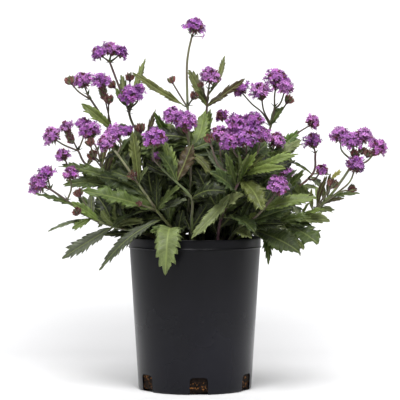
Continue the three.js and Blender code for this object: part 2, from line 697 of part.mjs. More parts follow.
function flowerHead(radius) {
  const points = [];
  for (const [share, z, turned] of CORE_RINGS)
    for (let k = 0; k < 5; k++) points.push(ringPoint(share * CORE, z * CORE, (k + turned) * FIFTH));
  const middleOf = (rim) => mul(rim.map((i) => points[i]).reduce(add), 1 / rim.length);
  const faces = [];
  const top = [0, 1, 2, 3, 4];
  const shoulders = top.map((k) => [k, 5 + k, 10 + k, 5 + next(k), next(k)]);
  const under = top.map((k) => [15 + k, 15 + next(k), 10 + next(k), 5 + next(k), 10 + k]);
  for (const rim of [top, ...shoulders]) {
    const middle = middleOf(rim);
    const out = unit(middle);
    const throat = points.push(mul(out, FLORET.throat)) - 1;
    rim.forEach((corner, k) => {
      const nextCorner = rim[next(k)];
      const toEdge = sub(mul(add(points[corner], points[nextCorner]), 0.5), middle);
      const tip = points.push(add(mul(out, FLORET.level), mul(unit(toEdge), FLORET.reach))) - 1;
      faces.push([corner, nextCorner, tip], [corner, tip, throat], [tip, nextCorner, throat]);
    });
  }
  for (const rim of under) {
    const tip = points.push(mul(unit(middleOf(rim)), CALYX)) - 1;
    rim.forEach((corner, k) => faces.push([corner, rim[next(k)], tip]));
  }
  for (const k of [1, 2, 3]) faces.push([15, 15 + k + 1, 15 + k]);
  return shell(points, faces).scale(radius, radius, radius);
}

// -------------------------------------------------------------- the named pieces
const plant = new THREE.Group();
plant.name = "potted_verbena";

const PLASTIC = new THREE.MeshStandardMaterial({ color: 0x1c1c20, roughness: 0.42, metalness: 0 });
const MIX = new THREE.MeshStandardMaterial({ color: 0x2e1e14, roughness: 0.95, metalness: 0 });
const GREEN = new THREE.MeshStandardMaterial({ color: 0x4f6535, roughness: 0.6, metalness: 0 });
const PURPLE = new THREE.MeshStandardMaterial({ color: 0x9a48b0, roughness: 0.6, metalness: 0 });

function addPiece(manifold, label, material) {
  const mesh = new THREE.Mesh(geometryOf(manifold), material);
  mesh.name = label;
  plant.add(mesh);
}

function lathe(profile, sides) {
  const turned = new THREE.LatheGeometry(profile.map(([r, z]) => new THREE.Vector2(r, z)), sides);
  return turned.rotateX(Math.PI / 2);
}

// The pot's wall stands on a rounded foot corner and steps out under its rim.
const CORNER = 3;
const RIM_STEP = 1.6;
const RIDGE = 0.8; // how far the ridge at the rim's lower edge stands proud
const INNER_FOOT = 4; // height where the wall's inside meets the floor's slope
const bandFoot = POT_HEIGHT - RIM_BAND;
const shoulder = RIM_RADIUS - RIM_STEP;

function makePot() {
  const profile = [
    [0, 0], [FOOT_RADIUS - CORNER, 0], [FOOT_RADIUS, CORNER], [shoulder, bandFoot],
    [RIM_RADIUS, bandFoot + RIDGE], [RIM_RADIUS - RIDGE, bandFoot + 3 * RIDGE],
    [RIM_RADIUS - RIDGE, POT_HEIGHT], [RIM_RADIUS - RIDGE - WALL, POT_HEIGHT], [shoulder - WALL, bandFoot],
    [FOOT_RADIUS - WALL, INNER_FOOT], [FOOT_RADIUS - WALL - CORNER, FLOOR], [0, FLOOR],
  ];
  let pot = solid(lathe(profile, POT_SIDES));
  const half = DRAIN_WIDTH / 2;
  const arch = new THREE.Shape();
  arch.moveTo(-half, -1);
  arch.lineTo(half, -1);
  arch.lineTo(half, DRAIN_HEIGHT - DRAIN_CORNER);
  arch.lineTo(half - DRAIN_CORNER, DRAIN_HEIGHT);
  arch.lineTo(DRAIN_CORNER - half, DRAIN_HEIGHT);
  arch.lineTo(-half, DRAIN_HEIGHT - DRAIN_CORNER);
  for (let k = 0; k < DRAIN_HOLES; k++) {
    const cutter = new THREE.ExtrudeGeometry(arch, { depth: DRAIN_DEPTH + CORNER, bevelEnabled: false });
    cutter.rotateX(Math.PI / 2).translate(0, DRAIN_DEPTH - FOOT_RADIUS, 0);
    pot = pot.subtract(solid(cutter.rotateZ(DRAIN_TURN + (2 * Math.PI * k) / DRAIN_HOLES)));
  }
  addPiece(pot, "pot", PLASTIC);
}

// The mix fills the pot, a gap inside its wall.
function mixRadius(z) {
  const share = (z - INNER_FOOT) / (bandFoot - INNER_FOOT);
  return FOOT_RADIUS - WALL + share * (shoulder - FOOT_RADIUS) - GAP;
}

function makeMix() {
  const top = mixRadius(SOIL_LEVEL);
  const profile = [
    [0, FLOOR + GAP], [FOOT_RADIUS - WALL - CORNER - GAP, FLOOR + GAP],
    [mixRadius(INNER_FOOT), INNER_FOOT + GAP], [top, SOIL_LEVEL], [FLAT_MIX * 1.25, SOIL_LEVEL],
    [FLAT_MIX, SOIL_LEVEL], [0, SOIL_LEVEL],
  ];
  const body = lathe(profile, POT_SIDES);
  const at = body.attributes.position;
  for (let i = 0; i < at.count; i++) {
    const [x, y, z] = [at.getX(i), at.getY(i), at.getZ(i)];
    const r = Math.hypot(x, y);
    if (z > SOIL_LEVEL - 1 && r > FLAT_MIX + 1 && r < top - 1)
      at.setZ(i, z + SOIL_BUMP * (Math.sin(0.21 * x + 1.3) + Math.cos(0.17 * y + 0.06 * x)));
  }
  let mix = solid(body);
  for (const shoot of SHOOTS) {
    const [foot, ground, second] = rootedPath(shoot);
    const below = add(foot, mul(unit(sub(foot, ground)), GAP));
    const above = add(ground, mul(unit(sub(second, ground)), HOLE_RISE));
    mix = mix.subtract(sweep([below, above], 4, HOLE_RADIUS, HOLE_RADIUS));
  }
  addPiece(largest(mix), "potting_mix", MIX);
}

// A stem's path with the length that stands in the mix put before it.
function rootedPath(shoot) {
  const [first, second] = shoot.path;
  return [sub(first, mul(unit(sub(second, first)), ROOTED)), ...shoot.path];
}

// A long head has a spike of spent calyxes under its flowers, which is part of the stem.
const SPIKE = { radius: 0.42, slim: 0.8, tall: 1.2 };

function makeShoot(shoot) {
  const parts = [sweep(rootedPath(shoot), 4, STEM_FOOT, STEM_TOP)];
  for (const end of shoot.ends) {
    parts.push(sweep(end.path, 3, STALK_FOOT, STALK_TOP));
    if (end.bloom === "bud") {
      parts.push(solid(stand(budCluster(end.radius), end.centre, end.axis, end.centre[0])));
    } else if (end.spike > 0) {
      const middle = sub(end.path[end.path.length - 1], mul(end.axis, end.spike / 2));
      const closed = budCluster(end.spike * SPIKE.radius).scale(SPIKE.slim, SPIKE.slim, SPIKE.tall);
      parts.push(solid(stand(closed, middle, end.axis, end.centre[0])));
    }
  }
  for (const leaf of shoot.grown) parts.push(blade(leaf));
  addPiece(largest(fuse(parts)), `stem_${shoot.name}`, GREEN);
}

// Heads of one bloom are joined by short arms between their cores.
function makeBlooms(shoot) {
  const blooms = new Map();
  for (const end of shoot.ends) {
    if (end.bloom === "bud") continue;
    const spin = end.centre[0] + end.centre[2];
    const head = solid(stand(flowerHead(end.radius), end.centre, end.axis, spin));
    const bloom = blooms.get(end.bloom);
    if (bloom) {
      const ends = [bloom.first.centre, end.centre];
      const arm = sweep(ends, 3, ARM * bloom.first.radius, ARM * end.radius);
      bloom.body = fuse([bloom.body, head, arm]);
    } else {
      blooms.set(end.bloom, { first: end, body: head });
    }
  }
  for (const [letter, bloom] of blooms)
    addPiece(largest(bloom.body), `bloom_${shoot.name}_${letter}`, PURPLE);
}

makePot();
makeMix();
for (const shoot of SHOOTS) {
  makeShoot(shoot);
  makeBlooms(shoot);
}

export default plant;
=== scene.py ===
"""The looks of a potted purple verbena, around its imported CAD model."""
import math

import bmesh
import bpy
import numpy as np
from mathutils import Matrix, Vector


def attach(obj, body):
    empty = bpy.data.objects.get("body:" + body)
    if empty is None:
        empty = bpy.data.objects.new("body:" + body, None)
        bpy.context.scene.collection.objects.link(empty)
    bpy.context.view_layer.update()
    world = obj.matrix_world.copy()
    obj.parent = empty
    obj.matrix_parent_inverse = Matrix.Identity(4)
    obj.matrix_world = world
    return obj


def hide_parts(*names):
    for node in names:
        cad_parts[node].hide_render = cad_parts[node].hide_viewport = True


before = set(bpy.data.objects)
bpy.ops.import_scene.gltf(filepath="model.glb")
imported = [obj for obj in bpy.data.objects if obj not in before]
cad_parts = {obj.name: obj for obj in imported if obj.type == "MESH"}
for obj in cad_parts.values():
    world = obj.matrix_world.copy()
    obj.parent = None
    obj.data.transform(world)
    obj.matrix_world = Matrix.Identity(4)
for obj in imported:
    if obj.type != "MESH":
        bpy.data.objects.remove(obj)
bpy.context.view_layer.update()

# ------------------------------------------------------------------ driving sizes, mm
MM = 0.001
POT_HEIGHT = 187
RIM_RADIUS = 82.5
FOOT_RADIUS = 70
WALL = 1.3
FLOOR = 2
RIM_BAND = 12.5
SHOULDER = RIM_RADIUS - 1.6
BAND_FOOT = POT_HEIGHT - RIM_BAND
POT_SIDES = 144
DRAIN_HOLES = 6
DRAIN_WIDTH = 22
DRAIN_HEIGHT = 21
DRAIN_CORNER = 5
DRAIN_DEPTH = 14
DRAIN_TURN = 0.068
SOIL_LEVEL = 170
STEM_FOOT = 2.0  # radii of stems and flower stalks
STEM_TOP = 1.15
STALK_FOOT = 1.0
STALK_TOP = 0.75
FOLD = 0.22  # how far a blade's halves rise from the rib, as a share of their width
LEAF_LENGTH = 74
LEAF_SLENDER = 0.32  # a paired leaf's width and bow, as shares of its length
LEAF_BOW = 0.09
SEAT = 0.7947 * 0.52  # from a head's centre down to its stalk's end, as a share of its radius
SEAT_GAP = 0.6
CLEAR = 4  # how far leaves stay from other stems, for large, small and filling leaves
SMALL_CLEAR = 1.5
AXIL_CLEAR = 2.2
OWN_SHARE = 0.35  # the share of a leaf's samples, from its base, that its own stem may touch
NOBODY = -1
HEAD_LIFT = 0.25  # how much a head turns up from the way its stalk points
BUD_SUNK = 0.6  # how deep a stalk goes into a bud cluster, as a share of its radius
GOLDEN = 2.399963  # the turn from one flower or cup to the next, radians
ROUND = 2 * math.pi
ANY_TURN = 6.28

# The same layout as the CAD model's. A stem: its path from the soil outwards, then
#   whorls: places along the path, counted in path points, with a pair of leaves.
#   leaves: single leaves, (place, tip, width, bow, a letter of LEAF_HUES).
#   stalks: (bloom, place, points on the way, centre, radius, spike length).
SHOOTS = []


def stem(name, path, leaves, stalks, whorls=()):
    SHOOTS.append(dict(name=name, path=path, leaves=leaves, stalks=stalks, whorls=whorls))


stem(
    "far_left",
    path=[
        (-22, -8), (-56, -16, 190), (-98, -24, 201), (-126, -28, 211), (-156, -32, 233),
        (-176, -35, 247),
    ],
    leaves=[
        (3.7, (-192, -40, 241), 10, 1, "d"), (3, (-179, -38, 195), 6, 4, "g"),
        (3, (-149, -46, 199), 9, 2, "f"), (2, (-161, -44, 163), 16, 7, "g"),
        (2.1, (-121, -16, 240), 18, 3, "k"), (1.1, (-94, 12, 210), 20, 6, "k"),
    ],
    stalks=[
        ("a", 5, (), (-189, -37, 253), 13.5, 0), ("a", 5, (), (-180, -37, 267), 9.5, 0),
        ("b", 4, ((-151, -31, 247),), (-152, -30, 265), 10, 0),
        ("bud", 3, ((-136, -22, 232),), (-143, -20, 242), 6.5, 0),
        ("bud", 3.2, (), (-143, -40, 220), 6, 0),
    ],
)
stem(
    "left_back",
    path=[(-18, 10), (-48, 24, 216), (-93, 34, 249), (-135, 38, 275), (-147, 38, 294)],
    whorls=[1.4],
    leaves=[
        (1.9, (-171, 18, 275), 17, 7, "m"), (1.7, (-165, 14, 252), 17, 8, "m"),
        (3, (-128, 44, 285), 7, 1, "b"), (2.5, (-126, 66, 260), 14, 5, "m"),
    ],
    stalks=[
        ("a", 4, ((-153, 38, 306),), (-162, 38, 324), 8.5, 19),
        ("b", 4, ((-164, 33, 301),), (-178.5, 29, 312), 13, 0),
        ("c", 4, ((-141, 42, 310),), (-140, 43, 326), 11, 6),
        ("d", 2.7, ((-155, 22, 274),), (-165, 20, 288), 10, 0),
    ],
)
stem(
    "left_mid",
    path=[(-12, -14), (-36, -16, 212), (-78, -10, 240), (-110, -6, 266), (-120, -4, 294)],
    whorls=[1.3],
    leaves=[
        (3, (-102, -12, 294), 9, 2, "b"), (2.3, (-142, -20, 272), 16, 3, "m"),
        (2.3, (-138, -26, 256), 11, 3, "m"),
    ],
    stalks=[
        ("a", 4, (), (-130, -4, 317), 12.8, 5),
        ("bud", 3.5, ((-124, -14, 288),), (-129, -18, 304), 6.5, 0),
        ("bud", 3, ((-120, 2, 279),), (-127, 4, 288), 7.5, 0),
    ],
)
stem(
    "left_front",
    path=[
        (-16, -28), (-28, -36, 198), (-46, -42, 221), (-68, -46, 253), (-88, -48, 282), (-97, -50, 294),
    ],
    leaves=[
        (1.6, (-115, -64, 150), 13, 13, "e"), (2, (-135, -78, 247), 22, 4, "m"),
        (2, (-18, -62, 250), 17, 3, "m"), (3, (-56, -62, 274), 7, 1, "p"),
        (3, (-76, -40, 318), 13, 3, "o"), (0.9, (-35, -98, 146), 29, 30, "l"),
        (2, (-58, -28, 284), 22, 3, "k"), (4, (-98, -30, 272), 10, 3, "g"),
    ],
    stalks=[
        ("a", 5, (), (-105, -53, 303), 12.5, 0), ("a", 4.6, ((-90, -42, 301),), (-98, -42, 314), 13, 0),
        ("bud", 3, (), (-75, -50, 264), 7, 0), ("bud", 2, (), (-67, -58, 230), 4, 0),
    ],
)
stem(
    "left_top",
    path=[(-8, 14), (-28, 26, 229), (-68, 38, 279), (-98, 42, 312), (-116, 43, 336), (-135, 44, 364)],
    whorls=[1.2, 2],
    leaves=[(3.2, (-143, 34, 353), 13, 6, "f"), (3.2, (-86, 52, 326), 9, 2, "d")],
    stalks=[
        ("a", 5, (), (-141, 46, 381), 13, 0), ("bud", 4.8, ((-146, 36, 368),), (-157, 33, 382), 7, 0),
        ("b", 3.3, ((-110, 36, 346),), (-117, 30, 380), 12, 18),
        ("bud", 3.6, (), (-108, 30, 358), 7, 0),
    ],
)
stem(
    "crown_left",
    path=[
        (-3, 22), (-16, 40, 234), (-48, 58, 286), (-77, 66, 324), (-86, 66, 349), (-96, 64, 374),
        (-108, 62, 406),
    ],
    whorls=[1.3, 2.1],
    leaves=[(3.6, (-63, 76, 412), 8, 3, "o")],
    stalks=[
        ("a", 6, (), (-107, 62, 422), 11, 0), ("a", 6, ((-114, 58, 411),), (-122, 56, 417), 10.5, 0),
        ("a", 6, ((-101, 66, 412),), (-95, 68, 419), 9.5, 0),
        ("b", 3.7, ((-83, 58, 346),), (-81, 50, 363), 13.5, 0),
        ("b", 3.9, ((-74, 68, 356),), (-71, 62, 372), 8, 0),
        ("bud", 4.2, ((-84, 74, 370),), (-83, 76, 388), 6.5, 0),
        ("bud", 4.6, (), (-105, 74, 378), 6, 0),
    ],
)
stem(
    "inner_left",
    path=[(-11, 1), (-25, 4, 229), (-50, 10, 274), (-65, 14, 304)],
    whorls=[1.5],
    leaves=[(2.6, (-49, 16, 346), 6, 2, "b")],
    stalks=[("bud", 3, (), (-68, 18, 322), 7, 0), ("a", 2.8, ((-74, 10, 305),), (-83, 6, 318), 8, 0)],
)
stem(
    "tallest",
    path=[(1, 5), (-3, 5, 224), (-7, 2, 294), (-9, 0, 347), (-10, 0, 394), (-8, 0, 416), (-4, 0, 434)],
    whorls=[1.3],
    leaves=[(3, (-77, -8, 391), 10, 0.5, "o"), (1.05, (-50, -26, 341), 18, 2, "s")],
    stalks=[
        ("a", 6, (), (0, 0, 447), 13, 0), ("bud", 3, ((-23, -4, 370),), (-29, -5, 381), 5.5, 0),
        ("bud", 3.05, (), (-1, -9, 361), 6, 0),
    ],
)
stem(
    "upright",
    path=[(10, 8), (11, 15, 224), (12, 22, 294), (15, 25, 349), (17, 25, 370)],
    whorls=[1.4],
    leaves=[
        (3, (-8, 28, 395), 12, 3, "o"), (3, (63, 20, 385), 10, -4, "b"),
        (3.5, (38, 50, 414), 7, 0, "o"), (2, (19, 16, 346), 8, 2, "m"),
        (1.2, (35, -10, 302), 18, 4, "s"),
    ],
    stalks=[("a", 4, (), (19, 25, 386), 13, 0), ("bud", 3.2, (), (8, 14, 376), 4.5, 0)],
)
stem(
    "right_top",
    path=[(22, 16), (36, 29, 219), (62, 44, 259), (86, 53, 299), (96, 55, 325), (101, 55, 349)],
    whorls=[1.2, 2],
    leaves=[(4, (112, 56, 350), 12, 2, "m")],
    stalks=[
        ("a", 5, ((101, 56, 364),), (104, 55, 385), 13.5, 9),
        ("a", 4.9, ((108, 50, 354),), (114, 42, 373), 11, 0),
        ("b", 4, ((85, 47, 342), (72, 46, 353)), (57, 44, 371), 11, 0),
        ("c", 4.1, ((87, 44, 344),), (83, 38, 368), 13, 6),
        ("bud", 4.2, ((108, 62, 342),), (119, 64, 359), 7, 0),
    ],
)
stem(
    "front_cluster",
    path=[(27, -29), (31, -38, 209), (47, -54, 244), (59, -62, 272), (62, -64, 290)],
    whorls=[1.1, 2],
    leaves=[
        (2.6, (124, -84, 290), 13, 6, "f"), (2.6, (106, -104, 274), 12, 4, "f"),
        (3, (42, -74, 296), 12, 2, "m"), (2, (-4, -92, 190), 14, 4, "p"),
        (1, (57, -84, 243), 17, 6, "p"), (2.5, (80, -94, 222), 21, 5, "o"),
        (2.1, (13, -62, 297), 10, 2, "g"),
    ],
    stalks=[
        ("a", 4, (), (61, -78, 309), 14.5, 0),
        ("a", 3.4, ((47, -50, 294), (45, -48, 310)), (51, -58, 325), 13.5, 0),
        ("a", 3.6, ((70, -48, 292), (74, -44, 310)), (71, -56, 328), 13.5, 0),
        ("a", 3.7, ((50, -74, 288),), (43, -76, 304), 11, 0),
        ("a", 3.8, ((73, -70, 288),), (80, -72, 312), 11, 0),
        ("b", 2.5, ((33, -52, 282),), (30, -50, 313), 11.5, 0),
        ("bud", 2.7, ((30, -62, 274),), (17, -68, 308), 6.5, 0),
    ],
)
stem(
    "right_mid",
    path=[(28, 2), (47, 4, 209), (74, 4, 249), (92, 4, 284), (96, 3, 294)],
    whorls=[1.2, 1.9],
    leaves=[
        (3, (133, 0, 308), 13, -4, "p"), (2.6, (130, 18, 300), 12, 4, "f"),
        (1.6, (110, -14, 275), 16, 3, "d"),
    ],
    stalks=[
        ("a", 4, (), (100, 2, 306), 12, 0), ("bud", 3.3, (), (82, -10, 302), 6, 0),
        ("b", 3, ((110, 26, 301), (130, 26, 317)), (147, 26, 329), 10, 0),
        ("c", 2.9, ((68, 12, 300), (42, 10, 326)), (34, 9, 337), 9, 0),
    ],
)
stem(
    "right_back",
    path=[(34, 15), (64, 32, 209), (112, 42, 236), (148, 45, 264), (152, 44, 290)],
    whorls=[1.2, 1.8],
    leaves=[
        (3, (170, 48, 264), 5, 2, "b"), (3, (121, 52, 280), 5, 3, "d"),
        (2.4, (162, 66, 244), 12, 4, "m"),
    ],
    stalks=[
        ("a", 4, (), (149, 42, 306), 11.5, 5), ("b", 2.8, ((150, 34, 258),), (159, 29, 270), 8.5, 0),
    ],
)
stem(
    "far_right",
    path=[
        (31, -5), (64, -8, 192), (107, -10, 204), (142, -10, 218), (165, -10, 237), (182, -10, 259),
        (192, -9, 275), (195, -8, 288),
    ],
    whorls=[1.3],
    leaves=[
        (4, (202, -22, 242), 8, 3, "m"), (3.4, (185, 0, 235), 6, 2, "b"),
        (3, (173, -4, 221), 9, 3, "p"), (2.3, (165, -26, 209), 16, 6, "l"),
        (2, (150, -48, 181), 27, 3, "M"), (1.1, (126, -60, 170), 26, 14, "D"),
        (1.4, (89, -34, 155), 10, 13, "d"),
    ],
    stalks=[
        ("a", 7, (), (194, -13, 305), 13, 0), ("a", 6.5, ((182, 3, 294),), (180, 2, 312), 12.5, 0),
        ("a", 6.8, ((204, 3, 294),), (209, 1, 311), 12.5, 0),
        ("b", 6.3, ((210, -14, 280),), (225, -18, 298), 11.5, 7),
        ("c", 3.5, ((174, -20, 242), (189, -23, 255)), (197, -25, 275), 12.5, 0),
        ("bud", 3.9, ((183, -2, 244),), (194, 2, 246), 6.5, 0),
        ("bud", 3.2, ((160, -26, 240),), (168, -30, 253), 7, 0),
    ],
)
stem(
    "front_right",
    path=[(34, -17), (51, -45, 198), (76, -72, 218), (92, -88, 238)],
    whorls=[1.2],
    leaves=[
        (0.8, (68, -94, 190), 13, 6, "p"), (1.2, (116, -70, 226), 16, 4, "d"),
        (2.2, (145, -92, 238), 19, 5, "f"), (1, (106, -74, 206), 18, 4, "k"),
    ],
    stalks=[("a", 3, (), (99, -95, 251), 12.5, 0)],
)
stem(
    "front_left",
    path=[(-2, -27), (-4, -46, 209), (-4, -54, 236), (-22, -62, 256), (-40, -68, 273)],
    leaves=[
        (2, (37, -80, 246), 21, 5, "k"), (3, (-36, -62, 304), 15, 3, "f"),
        (3, (-3, -64, 301), 20, 2, "b"),
    ],
    stalks=[
        ("a", 4, ((-50, -74, 286),), (-48, -77, 308), 14, 0), ("b", 3.8, (), (-45, -56, 286), 7, 0),
    ],
)
stem(
    "front_centre",
    path=[(-3, -19), (-8, -32, 219), (-5, -42, 266), (-7, -46, 300), (-10, -48, 316)],
    whorls=[1.2],
    leaves=[
        (3, (-22, -56, 326), 10, 2, "f"), (2.7, (21, -62, 264), 11, 3, "o"),
        (2.6, (12, 2, 344), 17, 2, "f"),
    ],
    stalks=[
        ("a", 4, (), (-10, -50, 329), 13.5, 8),
        ("a", 3.4, ((-20, -38, 318),), (-27, -40, 335), 12.5, 0),
    ],
)
stem(
    "back_left",
    path=[(-11, 27), (-30, 62, 207), (-62, 96, 238), (-80, 112, 260)],
    whorls=[1.2, 2],
    leaves=[(1, (-76, 108, 180), 20, 12, "d")],
    stalks=[
        ("a", 3, (), (-90, 120, 276), 12.5, 0),
        ("b", 2.5, ((-60, 112, 266),), (-52, 118, 286), 11.5, 0),
    ],
)
stem(
    "back",
    path=[(7, 31), (9, 68, 210), (6, 104, 244), (2, 122, 268)],
    whorls=[1.1, 1.9],
    leaves=[(1, (36, 132, 182), 20, 14, "d"), (1, (-28, 124, 188), 18, 12, "d")],
    stalks=[
        ("a", 3, (), (-2, 128, 286), 13, 0), ("b", 2.6, ((20, 118, 266),), (32, 124, 280), 10.5, 0),
    ],
)
stem(
    "back_right",
    path=[(24, 31), (48, 62, 204), (82, 90, 230), (104, 104, 250)],
    whorls=[1.1, 1.8],
    leaves=[(1, (106, 112, 176), 20, 12, "d")],
    stalks=[
        ("a", 3, (), (116, 112, 264), 12.5, 0), ("b", 2.5, ((90, 110, 260),), (84, 120, 276), 10.5, 0),
    ],
)


# ------------------------------------------------------------- points, paths, chance
def vec(*p):
    return np.array(p, float)


def unit(a):
    return a / np.linalg.norm(a)


def chance(seed):
    """A number from 0 to 1 that depends on the seed alone."""
    h = ((int(seed) ^ 0x9E3779B9) * 0x85EBCA6B) & 0xFFFFFFFF
    h ^= h >> 13
    h = (h * 0xC2B2AE35) & 0xFFFFFFFF
    h ^= h >> 16
    return h / 4294967296


def along(path, place):
    i = min(int(max(place, 0)), len(path) - 2)
    return path[i] + (path[i + 1] - path[i]) * (max(place, 0) - i)


def heading(path, place):
    return unit(along(path, min(place + 0.02, len(path) - 1)) - along(path, place - 0.02))


def smooth(path, place):
    """A point of the soft curve through the path's points."""
    i = min(int(max(place, 0)), len(path) - 2)
    t = place - i
    p1, p2 = path[i], path[i + 1]
    p0 = path[i - 1] if i else 2 * p1 - p2
    p3 = path[i + 2] if i + 2 < len(path) else 2 * p2 - p1
    return 0.5 * (
        2 * p1 + (p2 - p0) * t + (2 * p0 - 5 * p1 + 4 * p2 - p3) * t**2
        + (3 * p1 - p0 - 3 * p2 + p3) * t**3
    )


def soft_path(path, steps=9):
    last = len(path) - 1
    return np.array([smooth(path, last * i / (steps * last)) for i in range(steps * last + 1)])


# ------------------------------------------------------------------- planning leaves
class Leaf:
    """A leaf's plan: a bent rib from base to tip, and which way the blade faces."""

    def __init__(self, base, tip, toward, width, bow, place=None):
        chord = unit(tip - base)
        across = np.cross(chord, toward)
        if np.linalg.norm(across) <= 0.2:
            across = np.cross(chord, (0.9, 0.3, 0.3))
        self.base, self.tip, self.width, self.bow, self.place = base, tip, width, bow, place
        self.side = unit(across)
        self.face = np.cross(self.side, chord)
        self.length = float(np.linalg.norm(tip - base))
        self.hue = None

    def rib(self, s):
        s = np.asarray(s, float)[..., None]
        middle = (self.base + self.tip) / 2 + self.face * 2 * self.bow
        return self.base * (1 - s) ** 2 + middle * (2 * s * (1 - s)) + self.tip * s**2

    def half(self, s):
        return 0.5 * self.width * np.sin(np.pi * np.clip(s, 0, 1) ** 0.8).clip(0) ** 0.75

    def samples(self):
        s = np.arange(2, 17) / 16
        half = np.where(s < 1, self.half(s), 0)
        k = np.array([-0.9, -0.45, 0, 0.45, 0.9])
        out = k[None, :] * half[:, None]
        points = self.rib(s)[:, None, :] + out[..., None] * self.side
        return (points + (np.abs(out) * FOLD)[..., None] * self.face).reshape(-1, 3)


class Space:
    """The space that stems, heads and leaves have taken: points, each with its reach
    and the number of the stem that it belongs to."""

    ROOM = 65536
    NEARBY = 16

    def __init__(self):
        self.points, self.reach = np.zeros((self.ROOM, 3)), np.zeros(self.ROOM)
        self.who, self.count = np.zeros(self.ROOM, int), 0

    def take(self, points, reach, who):
        points = np.atleast_2d(points)
        span = slice(self.count, self.count + len(points))
        self.points[span], self.reach[span], self.who[span] = points, reach, who
        self.count += len(points)

    def take_path(self, path, radius, who):
        place, points = 0.0, []
        while place < len(path) - 1:
            points.append(along(path, place))
            place += 0.1
        self.take(np.array(points), radius, who)

    def blocked(self, points, who, clear):
        margin = clear + self.NEARBY
        low, high = points.min(0) - margin, points.max(0) + margin
        held, reach = self.points[: self.count], self.reach[: self.count]
        near = np.all((held > low) & (held < high), axis=1) & (self.who[: self.count] != who)
        if not near.any():
            return False
        gap = ((points[:, None, :] - held[near][None]) ** 2).sum(-1)
        return bool((gap < (clear + reach[near]) ** 2).any())


space = Space()


OVER_SOIL, OVER_RIM, INSIDE_RIM, OUTSIDE_RIM = 6, 5, 6.5, 4.5  # how near leaves come, mm


def in_pot(points):
    """Whether any point comes too near the soil or the rim."""
    r, z = np.hypot(points[:, 0], points[:, 1]), points[:, 2]
    in_soil = z < SOIL_LEVEL + OVER_SOIL
    at_rim = (r < RIM_RADIUS + OUTSIDE_RIM) & (z < POT_HEIGHT + OVER_RIM)
    return bool(np.where(r < RIM_RADIUS - INSIDE_RIM, in_soil, at_rim).any())


def grow_first(plans, shoot, owner, clear=CLEAR):
    """Grow the first of the plans that has room."""
    for leaf in plans:
        samples = leaf.samples()
        if in_pot(samples) or space.blocked(samples, owner, clear):
            continue
        rooted = len(samples) * OWN_SHARE
        space.take(samples, 0, np.where(np.arange(len(samples)) < rooted, owner, NOBODY))
        shoot["grown"].append(leaf)
        return leaf
    return None


def single_plans(shoot, place, tip, width, bow):
    """Plans for a leaf from the layout: where it has no room it moves back or shrinks."""
    base = vec(*place) if isinstance(place, tuple) else along(shoot["path"], place)
    toward = vec(0, 0.6, 0.8) if tip[1] > 60 else vec(0, -0.75, 0.66)
    for shrink in (1, 0.92, 0.84, 0.7):
        for lean in (0, 6, -6, 12, -12, 18, -18, 26, -26, 34, -34):
            reach = (vec(*tip) + vec(0, lean, abs(lean) * 0.1) - base) * shrink
            yield Leaf(base, base + reach, toward, width * shrink, bow * shrink, place)


class Axil:
    """A place on a stem where leaves grow."""

    def __init__(self, path, place, seed):
        self.base, self.stem, self.place, self.seed = along(path, place), heading(path, place), place, seed
        self.e1 = unit(np.cross(self.stem, (0.35, 0.2, 1)))
        self.e2 = np.cross(self.e1, self.stem)

    def way(self, angle, opening, fall):
        """A leaf's direction: turned round the stem, opened away from it and sunk a little."""
        out = self.e1 * math.cos(angle) + self.e2 * math.sin(angle)
        rising = self.stem * math.cos(opening) + out * math.sin(opening)
        return unit(rising + vec(0, 0, -fall))

    def leaf(self, tip, outwards, width, bow):
        """A leaf that faces outwards and up, a little to one side."""
        outward = unit(vec(self.base[0] + tip[0], self.base[1] + tip[1], 0.001))
        toward = outward * outwards + vec(0.5 * chance(self.seed + 4) - 0.25, 0, 0.7)
        return Leaf(self.base, tip, toward, width, bow, self.place)


PAIR_TOP, PAIR_OUT = 310, 152  # how high and how far to the sides tips of pairs reach


def pair_plans(shoot, owner, place, pair, half):
    """Plans for one leaf of a pair; the next pair stands crosswise to it."""
    seed = owner * 97 + pair * 13 + half * 5
    axil = Axil(shoot["path"], place, seed)
    share = place / (len(shoot["path"]) - 1)
    opening = math.radians(52 + 16 * chance(seed + 1))
    fall = 0.14 + 0.25 * chance(seed + 2) - 0.3 * share
    full = LEAF_LENGTH * (1.06 - 0.4 * share) * (0.86 + 0.28 * chance(seed + 3))
    for shrink in (1, 0.85, 0.7):
        for turn in (0, 16, -16, 32, -32, 48, -48, 64, -64):
            angle = math.radians(90 * pair + 180 * half + 40 * chance(seed) + 35 * (owner % 5) + turn)
            length = full * shrink
            tip = axil.base + axil.way(angle, opening, fall) * length
            if tip[2] <= PAIR_TOP - 0.2 * abs(tip[0]) - 0.25 * abs(tip[1]) and abs(tip[0]) <= PAIR_OUT:
                yield axil.leaf(tip, 0.9, length * LEAF_SLENDER, length * LEAF_BOW)


# The room that the smaller leaves fill: the highest and lowest tips, the lowest in front
# of the pot, and how far stems and tips are to the sides, to the back and to the front.
FILL_TOP, FILL_FOOT, FRONT_FOOT = 316, 186, 216
FILL_STEM, FILL_OUT, FILL_BACK, FILL_FRONT = 112, 118, 150, -48


